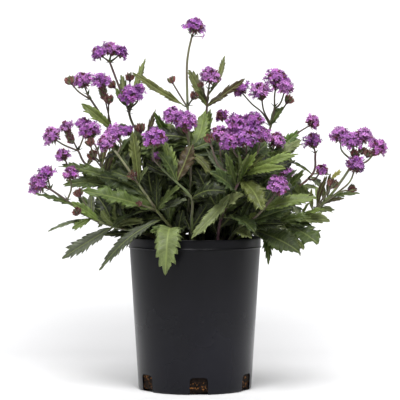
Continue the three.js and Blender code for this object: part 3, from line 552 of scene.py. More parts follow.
def axil_plans(shoot, owner, place, n):
    """Plans for a smaller leaf that fills what room is left between the large ones."""
    seed = owner * 211 + n * 31 + 7000
    axil = Axil(shoot["path"], place, seed)
    length = 34 + 34 * chance(seed)
    for shrink in (1, 0.7):
        for turn in range(11):
            angle = ROUND * (chance(seed + 1) + turn / 11)
            opening = math.radians(30 + 50 * chance(seed + 2 + turn))
            fall = 0.5 * chance(seed + 19 + turn) - 0.15
            tip = axil.base + axil.way(angle, opening, fall) * length * shrink
            x, y, z = abs(tip[0]), tip[1], tip[2]
            too_high = z > min(FILL_TOP, 380 - 0.8 * x) - 0.1 * abs(y)
            too_low = z < FILL_FOOT or (z < FRONT_FOOT and y < -15)
            too_far = x > FILL_OUT or abs(axil.base[0]) > FILL_STEM or not FILL_FRONT <= y <= FILL_BACK
            if not (too_high or too_low or too_far):
                yield axil.leaf(tip, 0.8, length * shrink * 0.36, length * shrink * 0.08)


def set_out(owner, shoot):
    """Start the stem in the soil, add its stalks, and take the space of both."""
    x, y = shoot["path"][0]
    shoot["path"] = np.array([(x, y, SOIL_LEVEL), *shoot["path"][1:]], float)
    shoot["grown"], shoot["ends"] = [], []
    for bloom, place, via, centre, radius, spike in shoot["stalks"]:
        start, centre = along(shoot["path"], place), vec(*centre)
        before = vec(*via[-1]) if via else start
        axis = unit(unit(centre - before) + vec(0, 0, HEAD_LIFT))
        sunk = BUD_SUNK * radius if bloom == "bud" else SEAT * radius + SEAT_GAP
        path = np.array([start, *via, centre - axis * sunk])
        end = dict(bloom=bloom, place=place, path=path, centre=centre, axis=axis, radius=radius, spike=spike)
        shoot["ends"].append(end)
    space.take_path(shoot["path"], STEM_TOP, owner)
    for end in shoot["ends"]:
        space.take_path(end["path"], STALK_TOP, owner)
        space.take(end["centre"], end["radius"] - 2, owner if end["bloom"] == "bud" else NOBODY)


def grow_single(owner, shoot, place, tip, width, bow, hue, clear=CLEAR):
    leaf = grow_first(single_plans(shoot, place, tip, width, bow), shoot, owner, clear)
    if leaf:
        leaf.hue = hue


# The smaller leaves fill the inside of the plant; most take k or d, partly painted shade.
AXIL_HUES = "kkddm"  # for the smaller leaves, by turns
# Small leaves that the layout leaves out: (stem, place or base, tip, width, bow, hue).
SMALL = [
    ("far_left", 3, (-127, -26, 243), 9, 1, "g"), ("far_left", 2.6, (-151, -36, 231), 12, 2, "f"),
    ("far_left", 2, (-62, -40, 207), 11, 3, "p"), ("far_left", 1.8, (-76, -36, 221), 20, 3, "k"),
    ("left_mid", 2.2, (-92, -14, 292), 10, 2, "g"), ("left_front", 2, (-10, -58, 235), 12, 2, "g"),
    ("left_front", 1, (-52, -68, 196), 13, 3, "m"), ("left_front", 2, (-74, -20, 262), 16, 3, "k"),
    ("far_right", 3.1, (142, -26, 247), 6, 1, "o"), ("far_right", 3.3, (161, -30, 263), 7, 1, "b"),
    ("far_right", 3.4, (150, -4, 249), 6, 1, "l"),
    ("far_right", (166, -30, 258), (179, -32, 269), 7, 1, "y"),
    ("right_back", 2.9, (158, 30, 248), 9, 2, "g"), ("right_back", 1.2, (119, 40, 292), 6, 0, "d"),
    ("right_back", 1.3, (128, 40, 271), 11, 2, "g"), ("right_back", 0.9, (108, 30, 276), 15, 3, "k"),
    ("front_right", 1.4, (74, -104, 214), 11, 2, "f"),
    ("front_centre", 1.3, (18, -66, 236), 14, 3, "k"),
    ("front_centre", 1.6, (-28, -60, 268), 12, 3, "d"), ("front_left", 3, (-44, -40, 290), 14, 2, "d"),
    ("right_top", 2.2, (58, 10, 300), 15, 2, "m"), ("right_mid", 2.2, (96, -20, 292), 14, 3, "m"),
    ("front_cluster", 2.2, (28, -40, 286), 14, 2, "s"),
    ("front_cluster", 2.4, (54, -52, 300), 8, 1, "f"),
    ("front_cluster", 2.8, (84, -66, 288), 8, 2, "o"), ("left_mid", 1.6, (-96, -30, 232), 15, 3, "d"),
    ("right_mid", 1.5, (112, -36, 246), 15, 3, "m"), ("far_right", 1.7, (140, -44, 214), 14, 3, "m"),
    ("far_right", 2.6, (158, -40, 222), 10, 2, "f"), ("right_back", 1.5, (139, 62, 264), 18, 2, "f"),
    ("right_mid", 2.8, (131, 34, 319), 12, 1, "s"), ("right_mid", 2.2, (126, 40, 282), 16, 3, "k"),
    ("left_front", 3.4, (-103, -30, 308), 10, 1, "d"), ("far_right", 2.7, (140, -40, 232), 8, 1, "l"),
    ("far_right", 3.7, (158, -34, 247), 6, 0, "o"), ("far_right", 3.9, (166, -20, 266), 6, 0, "b"),
    ("far_left", 2.3, (-144, -12, 237), 12, 1, "m"), ("front_centre", 3.2, (-37, -20, 328), 9, 1, "f"),
    ("right_back", 2.1, (134, 50, 258), 14, 2, "g"), ("back", 0.35, (-24, 74, 196), 24, 3, "k"),
    ("back_right", 0.35, (44, 70, 195), 24, 3, "k"), ("back_right", 0.6, (78, 60, 196), 22, 3, "k"),
    ("back", 0.6, (14, 84, 200), 22, 3, "k"), ("front_cluster", 2.3, (52, -92, 292), 14, 2, "s"),
    ("front_cluster", 2.4, (74, -92, 291), 14, 2, "f"),
    ("front_cluster", 2.2, (36, -84, 290), 12, 2, "m"),
    ("front_cluster", 2.5, (64, -100, 290), 10, 2, "m"), ("back", 0.5, (-22, 62, 204), 22, 3, "k"),
    ("back_left", 0.5, (-58, 62, 200), 22, 3, "k"), ("back_right", 0.5, (30, 66, 203), 22, 3, "k"),
    ("back", 0.4, (44, 50, 200), 20, 3, "k"), ("inner_left", 0.4, (-40, 30, 202), 20, 3, "k"),
    ("right_mid", 0.4, (24, 36, 204), 18, 3, "k"), ("right_top", 1.6, (32, 44, 300), 18, 3, "k"),
    ("right_top", 2.1, (60, 70, 300), 18, 3, "k"), ("right_top", 3.8, (76, 64, 322), 6, 1, "d"),
    ("upright", 1.8, (30, 30, 318), 14, 3, "m"), ("inner_left", 1.4, (-44, 16, 306), 16, 3, "k"),
    ("left_mid", 3.3, (-110, 6, 306), 8, 2, "b"), ("crown_left", 4, (-101, 60, 372), 9, 2, "m"),
    ("crown_left", 4, (-95, 84, 392), 9, 2, "d"), ("back", (-50, 66, 197), (24, 74, 184), 17, 3, "k"),
    ("back_right", (49, 64, 203), (94, 66, 182), 17, 3, "k"),
    ("inner_left", 0.5, (-30, 34, 228), 14, 2, "k"), ("far_right", 2.1, (143, -26, 203), 12, 1, "d"),
    ("far_left", 1.3, (-112, -30, 190), 9, 2, "k"), ("upright", 3, (36, 22, 361), 10, 2, "b"),
    ("upright", 3, (1, 22, 370), 11, 2, "o"), ("right_back", 1.9, (138, 30, 271), 10, 2, "m"),
]

for owner, shoot in enumerate(SHOOTS):
    set_out(owner, shoot)
for owner, shoot in enumerate(SHOOTS):
    for row in shoot["leaves"]:
        grow_single(owner, shoot, *row)
for owner, shoot in enumerate(SHOOTS):
    for pair, place in enumerate(shoot["whorls"]):
        for half in (0, 1):
            grow_first(pair_plans(shoot, owner, place, pair, half), shoot, owner)
names = [shoot["name"] for shoot in SHOOTS]
for name, *row in SMALL:
    owner = names.index(name)
    grow_single(owner, SHOOTS[owner], *row, clear=SMALL_CLEAR)
for step in (0.3, 0.2):
    for owner, shoot in enumerate(SHOOTS):
        for n, place in enumerate(np.arange(0.3 + step / 2, len(shoot["path"]) - 1.5, step)):
            plans = axil_plans(shoot, owner, float(place), n + round(100 * step))
            leaf = grow_first(plans, shoot, owner, AXIL_CLEAR)
            if leaf:
                leaf.hue = AXIL_HUES[n % len(AXIL_HUES)]


# --------------------------------------------------------------------- mesh building
def linear(code):
    """A colour code as linear red, green and blue."""
    s = np.array([int(code[i : i + 2], 16) / 255 for i in (1, 3, 5)])
    return np.where(s <= 0.04045, s / 12.92, ((s + 0.055) / 1.055) ** 2.4)


def place_in_scene(name, data):
    made = bpy.data.objects.new(name, data)
    bpy.context.scene.collection.objects.link(made)
    return made


class Piece:
    """Points and faces gathered into one object. Each point has a tint and a spot:
    on a leaf the spot is (mm from the midrib, place among the side veins, share of the
    length), on a flower (share from throat to lobe tip, chance, 0)."""

    def __init__(self, name, materials):
        self.name, self.materials, self.count = name, materials, 0
        self.points, self.faces, self.skins, self.tints, self.spots = [], [], [], [], []

    def add(self, points, faces, material, tint, spot=(0, 0, 0)):
        points = np.asarray(points, float)
        n = len(points)
        self.points.append(points)
        for face in faces:
            self.faces.append([int(v) + self.count for v in face])
        self.skins.extend([self.materials.index(material)] * len(faces))
        self.tints.append(np.broadcast_to(np.asarray(tint, float), (n, 3)))
        self.spots.append(np.broadcast_to(np.asarray(spot, float), (n, 3)))
        self.count += n

    def build(self, node):
        points = np.concatenate(self.points) * MM
        mesh = bpy.data.meshes.new(self.name)
        mesh.from_pydata(points.tolist(), [], self.faces)
        mesh.polygons.foreach_set("material_index", self.skins)
        mesh.polygons.foreach_set("use_smooth", [True] * len(self.faces))
        for material in self.materials:
            mesh.materials.append(MATERIALS[material])
        tint = mesh.attributes.new("tint", "FLOAT_COLOR", "POINT")
        tints = np.concatenate([np.concatenate(self.tints), np.ones((self.count, 1))], axis=1)
        tint.data.foreach_set("color", tints.astype(np.float32).ravel())
        spot = mesh.attributes.new("spot", "FLOAT_VECTOR", "POINT")
        spot.data.foreach_set("vector", np.concatenate(self.spots).astype(np.float32).ravel())
        mesh.update()
        piece = place_in_scene(self.name, mesh)
        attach(piece, "root")
        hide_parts(node)


def frames(points):
    """A turning-free pair of side directions for each point of a line."""
    way = np.gradient(points, axis=0)
    way /= np.linalg.norm(way, axis=1)[:, None]
    normal = np.cross(way[0], (0.42, 0.9, 0.11))
    sides = []
    for w in way:
        normal = unit(normal - w * normal.dot(w))
        sides.append((normal, np.cross(w, normal)))
    return sides


def grid(rows, columns, first=0, ring=True):
    """Quads between rows of points; ring joins the end of each row to its start."""
    return [
        (a + k, a + (k + 1) % columns, a + columns + (k + 1) % columns, a + columns + k)
        for a in range(first, first + (rows - 1) * columns, columns)
        for k in range(columns if ring else columns - 1)
    ]


# Sections of tubes: each corner's (turn, share of the radius).
QUARTER = math.pi / 2
SQUARE = [
    ((k + turn) * QUARTER, share)
    for k in range(4) for turn, share in ((0, 1.0), (0.16, 0.9), (0.5, 0.76), (0.84, 0.9))
]
ROUND5 = [(k * math.pi * 0.4, 1.0) for k in range(5)]
ROUND6 = [(k * math.pi / 3, 1.0) for k in range(6)]
RIBBED8 = [(k * math.pi / 4, 1 if k % 2 == 0 else 0.86) for k in range(8)]


def tube(piece, points, radii, section, material, tint, spot=(0, 0, 0), closed=True):
    """A body swept along points."""
    points = np.asarray(points, float)
    radii = np.broadcast_to(np.asarray(radii, float), (len(points),))
    m = len(section)
    rings = np.array([
        [p + r * k * (math.cos(t) * a + math.sin(t) * b) for t, k in section]
        for p, r, (a, b) in zip(points, radii, frames(points))
    ])
    faces = grid(len(points), m)
    if closed:
        end = len(points) * m
        faces += [range(m - 1, -1, -1), range(end - m, end)]
    tint = np.asarray(tint, float)
    if tint.ndim == 2:
        tint = np.repeat(tint, m, axis=0)
    piece.add(rings.reshape(-1, 3), faces, material, tint, spot)


# ------------------------------------------------------------------- leaves in detail
COLUMNS = np.array([-1, -0.76, -0.5, -0.24, 0, 0.24, 0.5, 0.76, 1])
# Painted highlight: each column's tint, paler towards the margin, as where the margins curl up and catch the
# light.
MARGIN_HIGHLIGHT = 0.84 + 0.7 * np.abs(COLUMNS) ** 6  # paler towards the margin
LOW_COLUMNS = (2, 4, 6)  # the columns above the underside's three
BLADE = np.array([0.4, 0.55, 0.4])  # the blade's thickness under them
KEEL = 0.5
ROWS_PER_TOOTH = 4
SAW = {1: (0, 0.38, 0.74, 1.0), -1: (0.74, 1.0, 0, 0.38)}  # the saw's height, row by row
TOOTH_PITCH = 6.8
BLUNT_PITCH = 5.2
SMALL_LEAF = 34  # shorter blades have lower teeth
BODY = 0.84  # the blade's width between the teeth, as a share
TEETH = 0.4
VEIN_SLANT = 0.85
QUILT = 0.8
RIB_GROOVE = 0.35
MIDRIB_BLADE = 15  # on broader blades the midrib is drawn broader too


def blade_half(leaf, s, blunt):
    """Half the width: broadest past the middle, and broad almost to the tip when blunt."""
    half = leaf.half(np.maximum(s ** (1.2 + 0.8 * blunt), 0.03))
    half = half * (1 + (0.22 + 0.1 * blunt) * np.exp(-(((s - 0.74) / 0.15) ** 2)))
    return np.maximum(half * np.clip((s + 0.06) / 0.3, 0.2, 1) ** 0.5, 0.9)


def blade_sides(leaf, way, twist):
    """The directions across and out of the blade, row by row, as it twists."""
    side = leaf.side - way * (way @ leaf.side)[:, None]
    side /= np.linalg.norm(side, axis=1)[:, None]
    face = np.cross(side, way)
    cos, sin = np.cos(twist)[:, None], np.sin(twist)[:, None]
    return side * cos + face * sin, face * cos - side * sin


def blade_faces(rows):
    """The faces of the upper side, and those of the underside with its ends."""
    c, low = len(COLUMNS), len(LOW_COLUMNS)
    first = rows * c
    tip = first + rows * low
    low_faces = []
    for i in range(rows - 1):
        a, b = i * c, (i + 1) * c
        p, q = first + i * low, first + (i + 1) * low
        low_faces.append((a, b, q, p))
        low_faces += [(p + k, q + k, q + k + 1, p + k + 1) for k in range(low - 1)]
        low_faces.append((p + 2, q + 2, b + c - 1, a + c - 1))
    a, p = (rows - 1) * c, first + (rows - 1) * low
    top_faces = grid(rows, c, ring=False) + [(a + k, a + k + 1, tip) for k in range(c - 1)]
    low_faces += [(a, tip, p), (p, tip, p + 1), (p + 1, tip, p + 2), (p + 2, tip, a + c - 1)]
    low_faces.append((0, first, first + 1, first + 2, c - 1, *range(c - 2, 0, -1)))
    return top_faces, low_faces


def grow_leaf(piece, leaf, tint, under, seed):
    """A closed toothed blade, its upper face quilted between the side veins."""
    rng = np.random.default_rng(seed)
    blunt = 1.0 if leaf.hue and leaf.hue.isupper() else 0.0
    n = max(4, round(leaf.length / (BLUNT_PITCH if blunt else TOOTH_PITCH)))
    rows = ROWS_PER_TOOTH * n
    s = 0.012 + np.arange(rows) / rows * 0.985
    half = blade_half(leaf, s, blunt)
    # The tip droops or lifts, the blade sways to one side, twists and folds a little.
    sway = rng.uniform(-0.05, 0.05) * leaf.length
    dip = rng.uniform(-0.05, 0.02) * leaf.length
    rib = leaf.rib(s) + np.outer(np.sin(np.pi * s) ** 1.5 * sway, leaf.side)
    rib = rib + np.outer((s * (s - 0.5)).clip(0) * dip, leaf.face)
    way = np.gradient(rib, axis=0)
    way /= np.linalg.norm(way, axis=1)[:, None]
    side, face = blade_sides(leaf, way, rng.uniform(-0.5, 0.5) * s**1.5)
    fold = FOLD * rng.uniform(0.7, 1.5)
    wave = rng.uniform(0.05, 0.11) * leaf.width
    waves, phase = rng.uniform(2.5, 5), rng.uniform(0, ANY_TURN)
    fade = np.clip((s - 0.1) / 0.15, 0, 1) * np.clip((1.02 - s) / 0.12, 0, 1)
    saw = {}
    for hand in (1, -1):
        size = np.repeat(rng.uniform(0.25, 1.5, n), ROWS_PER_TOOTH) * (1 - 0.5 * blunt)
        saw[hand] = np.tile(SAW[hand], n) * size * fade * (0.8 if leaf.length < SMALL_LEAF else 1)
    points, spots = [], []
    for u in COLUMNS:
        hand, k = (1 if u >= 0 else -1), abs(u)
        out = u * half * (BODY + TEETH * saw[hand] * k**3)
        veins = s * n - VEIN_SLANT * k + (0.5 if hand < 0 else 0)
        between = np.sin(np.pi * (veins % 1)) ** 0.8 * QUILT
        quilt = between * (4 * k * (1 - 0.8 * k)) * np.sin(np.pi * s) ** 0.5
        up = fold * k * half - 0.12 * half * k**2
        up = up + wave * k**2 * np.sin(2 * np.pi * waves * s + phase + hand)
        up = up + quilt - (RIB_GROOVE if k == 0 else 0) * np.sin(np.pi * s)
        ahead = 0.6 * leaf.length / n * saw[hand] * k**4
        points.append(rib + out[:, None] * side + up[:, None] * face + ahead[:, None] * way)
        spots.append(np.stack([np.abs(out) * min(1, MIDRIB_BLADE / leaf.width), veins, s], axis=1))
    top, spot = np.stack(points, axis=1), np.stack(spots, axis=1)  # rows, columns, xyz
    deep = BLADE[None, :, None] + (KEEL * (1 - 0.8 * s))[:, None, None] * [[[0], [1], [0]]]
    low = top[:, LOW_COLUMNS] - face[:, None, :] * deep
    tip = leaf.rib(1.0) + 0.5 * dip * leaf.face
    points = np.concatenate([top.reshape(-1, 3), low.reshape(-1, 3), tip[None]])
    spots = np.concatenate([spot.reshape(-1, 3), spot[:, LOW_COLUMNS].reshape(-1, 3), [[0, n, 1]]])
    # The upper side's tint is paler at the margins, a painted highlight.
    tints = np.concatenate([
        np.tile(tint * MARGIN_HIGHLIGHT[:, None], (rows, 1)),
        np.tile(under, (len(LOW_COLUMNS) * rows + 1, 1)),
    ])
    top_faces, low_faces = blade_faces(rows)
    piece.add(points, top_faces + low_faces, "leaf", tints, spots)
    # The underside has a skin of its own.
    piece.skins[-len(low_faces):] = [piece.materials.index("leaf_under")] * len(low_faces)


def bract(piece, base, way, length, width, tint, seed):
    """A short narrow folded blade without teeth."""
    rng = np.random.default_rng(seed)
    way = unit(way)
    side = unit(np.cross(way, vec(0.1, 0.3, 1)))
    face = np.cross(side, way)
    s = np.linspace(0, 1, 6)
    half = (0.5 * width * np.array([0.6, 1, 0.95, 0.7, 0.38, 0.03]))[:, None]
    curl = rng.uniform(-0.25, 0.15) * length
    rib = base + np.outer(s * length, way) + np.outer(s**2 * curl, face)
    left, right = rib - half * side + 0.3 * half * face, rib + half * side + 0.3 * half * face
    faces = []
    for i in range(5):
        faces += [(k + i, (k + 6) % 24 + i, (k + 6) % 24 + i + 1, k + i + 1) for k in (0, 6, 12, 18)]
    faces.append((5, 11, 17, 23))
    piece.add(np.concatenate([left, rib, right, rib - 0.35 * face]), faces, "leaf", tint, (2, 0.5, 0.5))


# ------------------------------------------------------------ heads, buds and spikes
LILAC = [linear(code) for code in ("#a45eab", "#954c9f", "#ae6db2", "#88429b", "#a857a2", "#b67ab8")]
TIP_LILAC = linear("#9a52a4")
MAROON = linear("#7e344c")
BUD_BROWN = linear("#8c4e48")
DARK_MAROON = linear("#50263c")
CALYX_GREEN = linear("#6c7246")
BUD_FULL = 1.1
USUAL_SHUT = 0.14  # the share of a head's flowers that are shut

# A petal lobe's points: (share of its length, swing to the side, share of its droop).
LOBE = (
    (0.24, -0.5, 0.0), (0.24, 0.5, 0.0), (0.64, -0.42, 0.5), (0.60, 0.0, 0.36),
    (0.64, 0.42, 0.5), (1.0, -0.31, 1.0), (0.8, 0.0, 0.7), (1.0, 0.31, 1.0),
)
LOBE_FACES = ((0, 2, 3), (0, 3, 1), (1, 3, 4), (2, 5, 6), (2, 6, 3), (3, 6, 7), (3, 7, 4))


def turned(axis, spin):
    """Columns: the two directions across an axis, and the axis."""
    side = unit(np.cross((0.31, 0.22, 0.9) if abs(axis[2]) < 0.9 else (1, 0.2, 0.1), axis))
    other = np.cross(axis, side)
    a, b = math.cos(spin), math.sin(spin)
    return np.stack([side * a + other * b, other * a - side * b, axis], axis=1)


def ring_point(angle, radius, height):
    return vec(math.cos(angle) * radius, math.sin(angle) * radius, height)


def floret(piece, root, out, lift, reach, size, tint, rng, tube_too=True):
    """A tube from root, and at its mouth five broad notched lobes."""
    mouth = root + out * reach
    turn = turned(lift, rng.uniform(0, ANY_TURN))
    cup = rng.uniform(-0.2, 0.35)
    points, shares, shades, faces = [mouth - lift * 0.9], [0.0], [1.0], []
    for k in range(5):
        angle = ROUND * k / 5 + rng.normal() * 0.06
        big = size * rng.uniform(0.85, 1.12)
        droop = cup + rng.normal() * 0.26
        shades.extend([rng.uniform(0.72, 1.28)] * len(LOBE))
        for share, swing, sag in LOBE:
            flat = vec(math.cos(angle + swing), math.sin(angle + swing), 0) * big * share
            flat[2] = -droop * big * sag * share
            points.append(mouth + turn @ flat)
            shares.append(share)
        b, after = 1 + len(LOBE) * k, 1 + len(LOBE) * ((k + 1) % 5)
        faces.append((0, b, b + 1))
        faces += [tuple(b + corner for corner in face) for face in LOBE_FACES]
        faces.append((0, b + 1, after))
    luck = rng.uniform()
    spots = [(share, luck, 0) for share in shares]
    piece.add(points, faces, "petal", np.outer(shades, tint), spots)
    if tube_too:
        line = [root, (root + mouth) / 2 + lift * 0.2, mouth - lift * 0.85]
        spot = (0.15, luck, 0)
        tube(piece, line, (0.5, 0.55, 0.75), ROUND5, "petal", tint * 0.8, spot, closed=False)


def calyx(piece, root, out, length, wide, tint, rng):
    """A five-ribbed cup drawn out into points."""
    turn = turned(out, rng.uniform(0, ANY_TURN))
    fifth = ROUND / 5
    points = []
    for share, z in ((0.45, 0.0), (1.0, 0.5), (0.8, 0.86)):
        points += [root + turn @ ring_point(fifth * k, wide * share, z * length) for k in range(5)]
    for k in range(5):
        z = length * rng.uniform(1.02, 1.3)
        points.append(root + turn @ ring_point(fifth * (k + 0.5), wide * 0.75, z))
    points.append(root + out * length * 0.7)
    faces, inside = grid(3, 5), len(points) - 1
    for k in range(5):
        j = (k + 1) % 5
        faces += [(10 + k, 10 + j, 15 + k), (10 + j, 10 + k, inside)]
    piece.add(points, faces, "calyx", tint, (0, rng.uniform(), 0))


def spiral(n, low, high):
    """n directions spread evenly over a ball's zone, low and high its polar angles."""
    z = np.linspace(math.cos(low), math.cos(high), n)
    a = np.arange(n) * GOLDEN
    r = np.sqrt(1 - z * z)
    return np.stack([r * np.cos(a), r * np.sin(a), z], axis=1)


class Head:
    """An uneven dome of flowers, wider than tall, round the spike that carries them."""

    def __init__(self, piece, centre, axis, radius, seed, shut):
        self.piece, self.centre, self.axis, self.radius, self.shut = piece, centre, axis, radius, shut
        self.rng = rng = np.random.default_rng(seed)
        self.turn = turn = turned(axis, rng.uniform(0, ANY_TURN))
        self.shape = turn @ np.diag((rng.uniform(1.02, 1.2), rng.uniform(1.02, 1.2), 0.86)) @ turn.T
        self.humps = rng.normal(size=(3, 3)) * 1.8
        self.phases = rng.uniform(0, ANY_TURN, 3)
        self.blooming = max(18, round(0.24 * radius**2 + 10))
        self.spike()
        self.hue = self.lilac()
        self.outer_flowers()
        self.inner_flowers()
        self.crown_buds()
        self.spent_cups()

    def lilac(self):
        return LILAC[int(self.rng.integers(len(LILAC)))]

    def directions(self, n, low, high, spread):
        """Directions over a zone of the head, each a little off its even place."""
        for d in spiral(n, low, high):
            yield unit(self.turn @ (d + spread * self.rng.normal(size=3)))

    def cup(self, root, d, size, wide, shade):
        """A maroon cup: size and shade are the ranges of its length and its brightness."""
        length = self.radius * self.rng.uniform(*size)
        calyx(self.piece, root, d, length, wide, MAROON * self.rng.uniform(*shade), self.rng)

    def out_from_middle(self, d):
        """How far the flowers stand out that way: a few low humps all round."""
        return self.shape @ d * (1 + 0.07 * np.sin(self.humps @ d + self.phases).sum())

    def spike(self):
        up = self.axis * self.radius
        foot, crown = self.centre - up * 0.55, self.centre + up * 0.5
        line = [foot, foot + up * 0.3, self.centre + up * 0.1, crown - up * 0.12, crown]
        radii = [self.radius * share for share in (0.14, 0.4, 0.44, 0.28, 0.06)]
        tube(self.piece, line, radii, ROUND6, "calyx", DARK_MAROON)

    def outer_flowers(self):
        """Open florets, and here and there a tuft of shut cups in the place of one."""
        rng, radius, axis = self.rng, self.radius, self.axis
        size = 2.6 + 0.08 * radius
        full = 1.12 * radius - 0.45 * size
        tufts = max(3, round(self.blooming * self.shut))
        closed = set(rng.choice(np.arange(1, self.blooming - 1), tufts, replace=False).tolist())
        for n, d in enumerate(self.directions(self.blooming, math.radians(10), math.radians(103), 0.11)):
            way = self.out_from_middle(d)
            root = self.centre + axis * radius * (0.12 * (d @ axis) - 0.04) + way * radius * 0.24
            self.cup(root, d, (0.38, 0.46), 1.0, (0.7, 1.4))
            if n in closed:
                for _ in range(3):
                    aside = unit(d + 0.35 * rng.normal(size=3))
                    self.cup(root, aside, (0.5, 0.72), 1.1, (0.8, 1.5))
                continue
            tint = self.hue * 0.45 + self.lilac() * 0.55
            tint = tint * rng.uniform(0.78, 1.22)
            lift = unit(d + 0.3 * axis + 0.42 * rng.normal(size=3))
            reach = np.linalg.norm(way) * (full * rng.uniform(0.78, 1.04) - 0.24 * radius)
            floret(self.piece, root, d, lift, reach, size * rng.uniform(0.88, 1.12), tint, rng)

    def inner_flowers(self):
        """Florets deeper in, seen between the outer ones, tinted darker as painted shade."""
        rng, inner = self.rng, round(self.blooming * (0.6 - self.shut * 0.6))
        for d in self.directions(inner, math.radians(20), math.radians(112), 0.15):
            way = self.out_from_middle(d)
            root = self.centre + way * self.radius * 0.2
            reach = self.radius * np.linalg.norm(way) * rng.uniform(0.42, 0.58)
            lift = unit(d + 0.4 * rng.normal(size=3))
            # Painted shade: the deeper florets are tinted darker than the head's hue.
            tint = self.hue * rng.uniform(0.6, 0.9)
            floret(self.piece, root, d, lift, reach, 3.4, tint, rng, tube_too=False)

    def crown_buds(self):
        for d in self.directions(6, 0.05, 0.45, 0.06):
            root = self.centre + self.axis * self.radius * 0.3 + d * self.radius * 0.1
            self.cup(root, d, (0.36, 0.5), 0.9, (0.8, 1.5))
            if self.rng.uniform() < 0.5:
                self.bud_tip(root + d * self.radius * 0.26, d, self.radius * 0.36, 0.8)

    def bud_tip(self, root, out, length, wide):
        """A closed flower bud standing out of its calyx."""
        line = [root, root + out * length * 0.6, root + out * length * 0.85, root + out * length]
        radii = (wide * 0.7, wide, wide * 0.8, wide * 0.2)
        tube(self.piece, line, radii, ROUND5, "petal", TIP_LILAC, (0.4, self.rng.uniform(), 0))

    def spent_cups(self):
        rng, radius = self.rng, self.radius
        for d in self.directions(22, math.radians(94), math.radians(150), 0.07):
            root = self.centre - self.axis * radius * 0.14 + d * radius * 0.14
            tint = (MAROON if rng.uniform() < 0.7 else CALYX_GREEN) * rng.uniform(0.45, 1.05)
            calyx(self.piece, root, d, radius * rng.uniform(0.4, 0.6), 0.95, tint, rng)


def bud_cluster(piece, centre, axis, radius, seed):
    """Closed calyxes packed round a short axis, all pointing up and out."""
    rng = np.random.default_rng(seed)
    radius = radius * BUD_FULL
    turn = turned(axis, rng.uniform(0, ANY_TURN))
    foot = centre - axis * radius * 0.8
    line = [foot, foot + axis * radius * 0.3, centre - axis * radius * 0.15, centre + axis * radius * 0.25]
    tube(piece, line, [radius * share for share in (0.18, 0.4, 0.42, 0.15)], ROUND6, "calyx", DARK_MAROON)
    lean = turn @ vec(rng.uniform(0.1, 0.3), 0, 0)
    for d in spiral(26, 0.15, math.radians(115)):
        d = unit(turn @ (d + 0.14 * rng.normal(size=3)))
        around = d - axis * d.dot(axis)
        root = centre + around * radius * 0.46 + axis * radius * (0.4 * (d @ axis) - 0.4)
        out = unit(around * 0.42 + axis * (0.8 + 0.3 * (d @ axis)) + lean)
        tint = (CALYX_GREEN if rng.uniform() < 0.3 else BUD_BROWN) * rng.uniform(0.35, 1.25)
        calyx(piece, root, out, radius * rng.uniform(0.6, 0.95), max(0.9, radius * 0.19), tint, rng)


def spent_spike(piece, end, seed):
    """Empty cups up the stalk below a long head."""
    rng = np.random.default_rng(seed)
    foot, axis, length = end["path"][-1], end["axis"], end["spike"]
    low = foot - axis * length
    tube(piece, [low, (low + foot) / 2, foot + axis], (1.2, 1.9, 2.0), ROUND6, "calyx", DARK_MAROON)
    count = round(length * 3)
    for n in range(count):
        side = turned(axis, n * GOLDEN)[:, 0]
        d = unit(side * 0.75 + axis * rng.uniform(0.6, 0.9))
        root = low + axis * (n + 0.5) / count * length + side * 0.9
        tint = (CALYX_GREEN if rng.uniform() < 0.35 else MAROON) * rng.uniform(0.7, 1.2)
        calyx(piece, root, d, rng.uniform(4.8, 6.6), 1.0, tint, rng)


# ------------------------------------------------------------------------- materials
class Graph:
    """Shorthand for building the nodes of a material, or of the world."""

    def __init__(self, owner, shader="BsdfPrincipled", output="OutputMaterial"):
        owner.use_nodes = True
        self.tree = owner.node_tree
        self.tree.nodes.clear()
        self.shader = self.node(shader)
        self.node(output, {"Surface": self.shader.outputs[0]})

    def node(self, kind, inputs=(), **settings):
        """A node with its settings, its inputs fed by name or number."""
        made = self.tree.nodes.new("ShaderNode" + kind)
        for key, value in settings.items():
            setattr(made, key, value)
        for key, value in dict(inputs).items():
            self.feed(made.inputs[key], value)
        return made

    def feed(self, socket, value):
        """Set a socket to a number or a colour, or link another node's output to it."""
        if isinstance(value, (int, float)):
            socket.default_value = value
        elif isinstance(value, (tuple, np.ndarray)):
            opaque = [1.0] * (len(socket.default_value) - len(value))
            socket.default_value = [float(v) for v in value] + opaque
        else:
            self.tree.links.new(value, socket)

    def set(self, **values):
        """Feed the shader's own sockets."""
        for key, value in values.items():
            self.feed(self.shader.inputs[key.replace("_", " ")], value)

    def tint(self):
        return self.node("Attribute", attribute_name="tint").outputs["Color"]

    def spot(self):
        return self.parts(self.node("Attribute", attribute_name="spot").outputs["Vector"])

    def place(self, output="Object"):
        return self.node("TexCoord").outputs[output]

    def parts(self, vector):
        return self.node("SeparateXYZ", {0: vector}).outputs

    def noise(self, scale, detail, stretch=None):
        vector = self.place()
        if stretch:
            vector = self.node("Mapping", {"Vector": vector, "Scale": stretch}).outputs[0]
        inputs = {"Vector": vector, "Scale": scale, "Detail": detail, "Roughness": 0.55}
        return self.node("TexNoise", inputs).outputs["Fac"]

    def cloud(self, scale, low, high):
        """A roughness that changes softly from place to place."""
        return self.remap(self.noise(scale, 2), 0.3, 0.7, low, high)

    def math(self, operation, *values):
        return self.node("Math", enumerate(values), operation=operation).outputs[0]

    def remap(self, value, low, high, to_low=0.0, to_high=1.0, kind="SMOOTHSTEP"):
        inputs = {"Value": value, "From Min": low, "From Max": high, "To Min": to_low, "To Max": to_high}
        return self.node("MapRange", inputs, interpolation_type=kind).outputs[0]

    def mix(self, factor, a, b):
        return self.node("Mix", {0: factor, 6: a, 7: b}, data_type="RGBA").outputs[2]

    def bump(self, height, strength, distance):
        inputs = {"Height": height, "Strength": strength, "Distance": distance}
        return self.node("Bump", inputs).outputs["Normal"]


def material(name, look, *rest):
    """A material whose shader's sockets are fed what the look gives for them."""
    made = bpy.data.materials.new(name)
    g = Graph(made)
    g.set(**look(g, *rest))
    return made


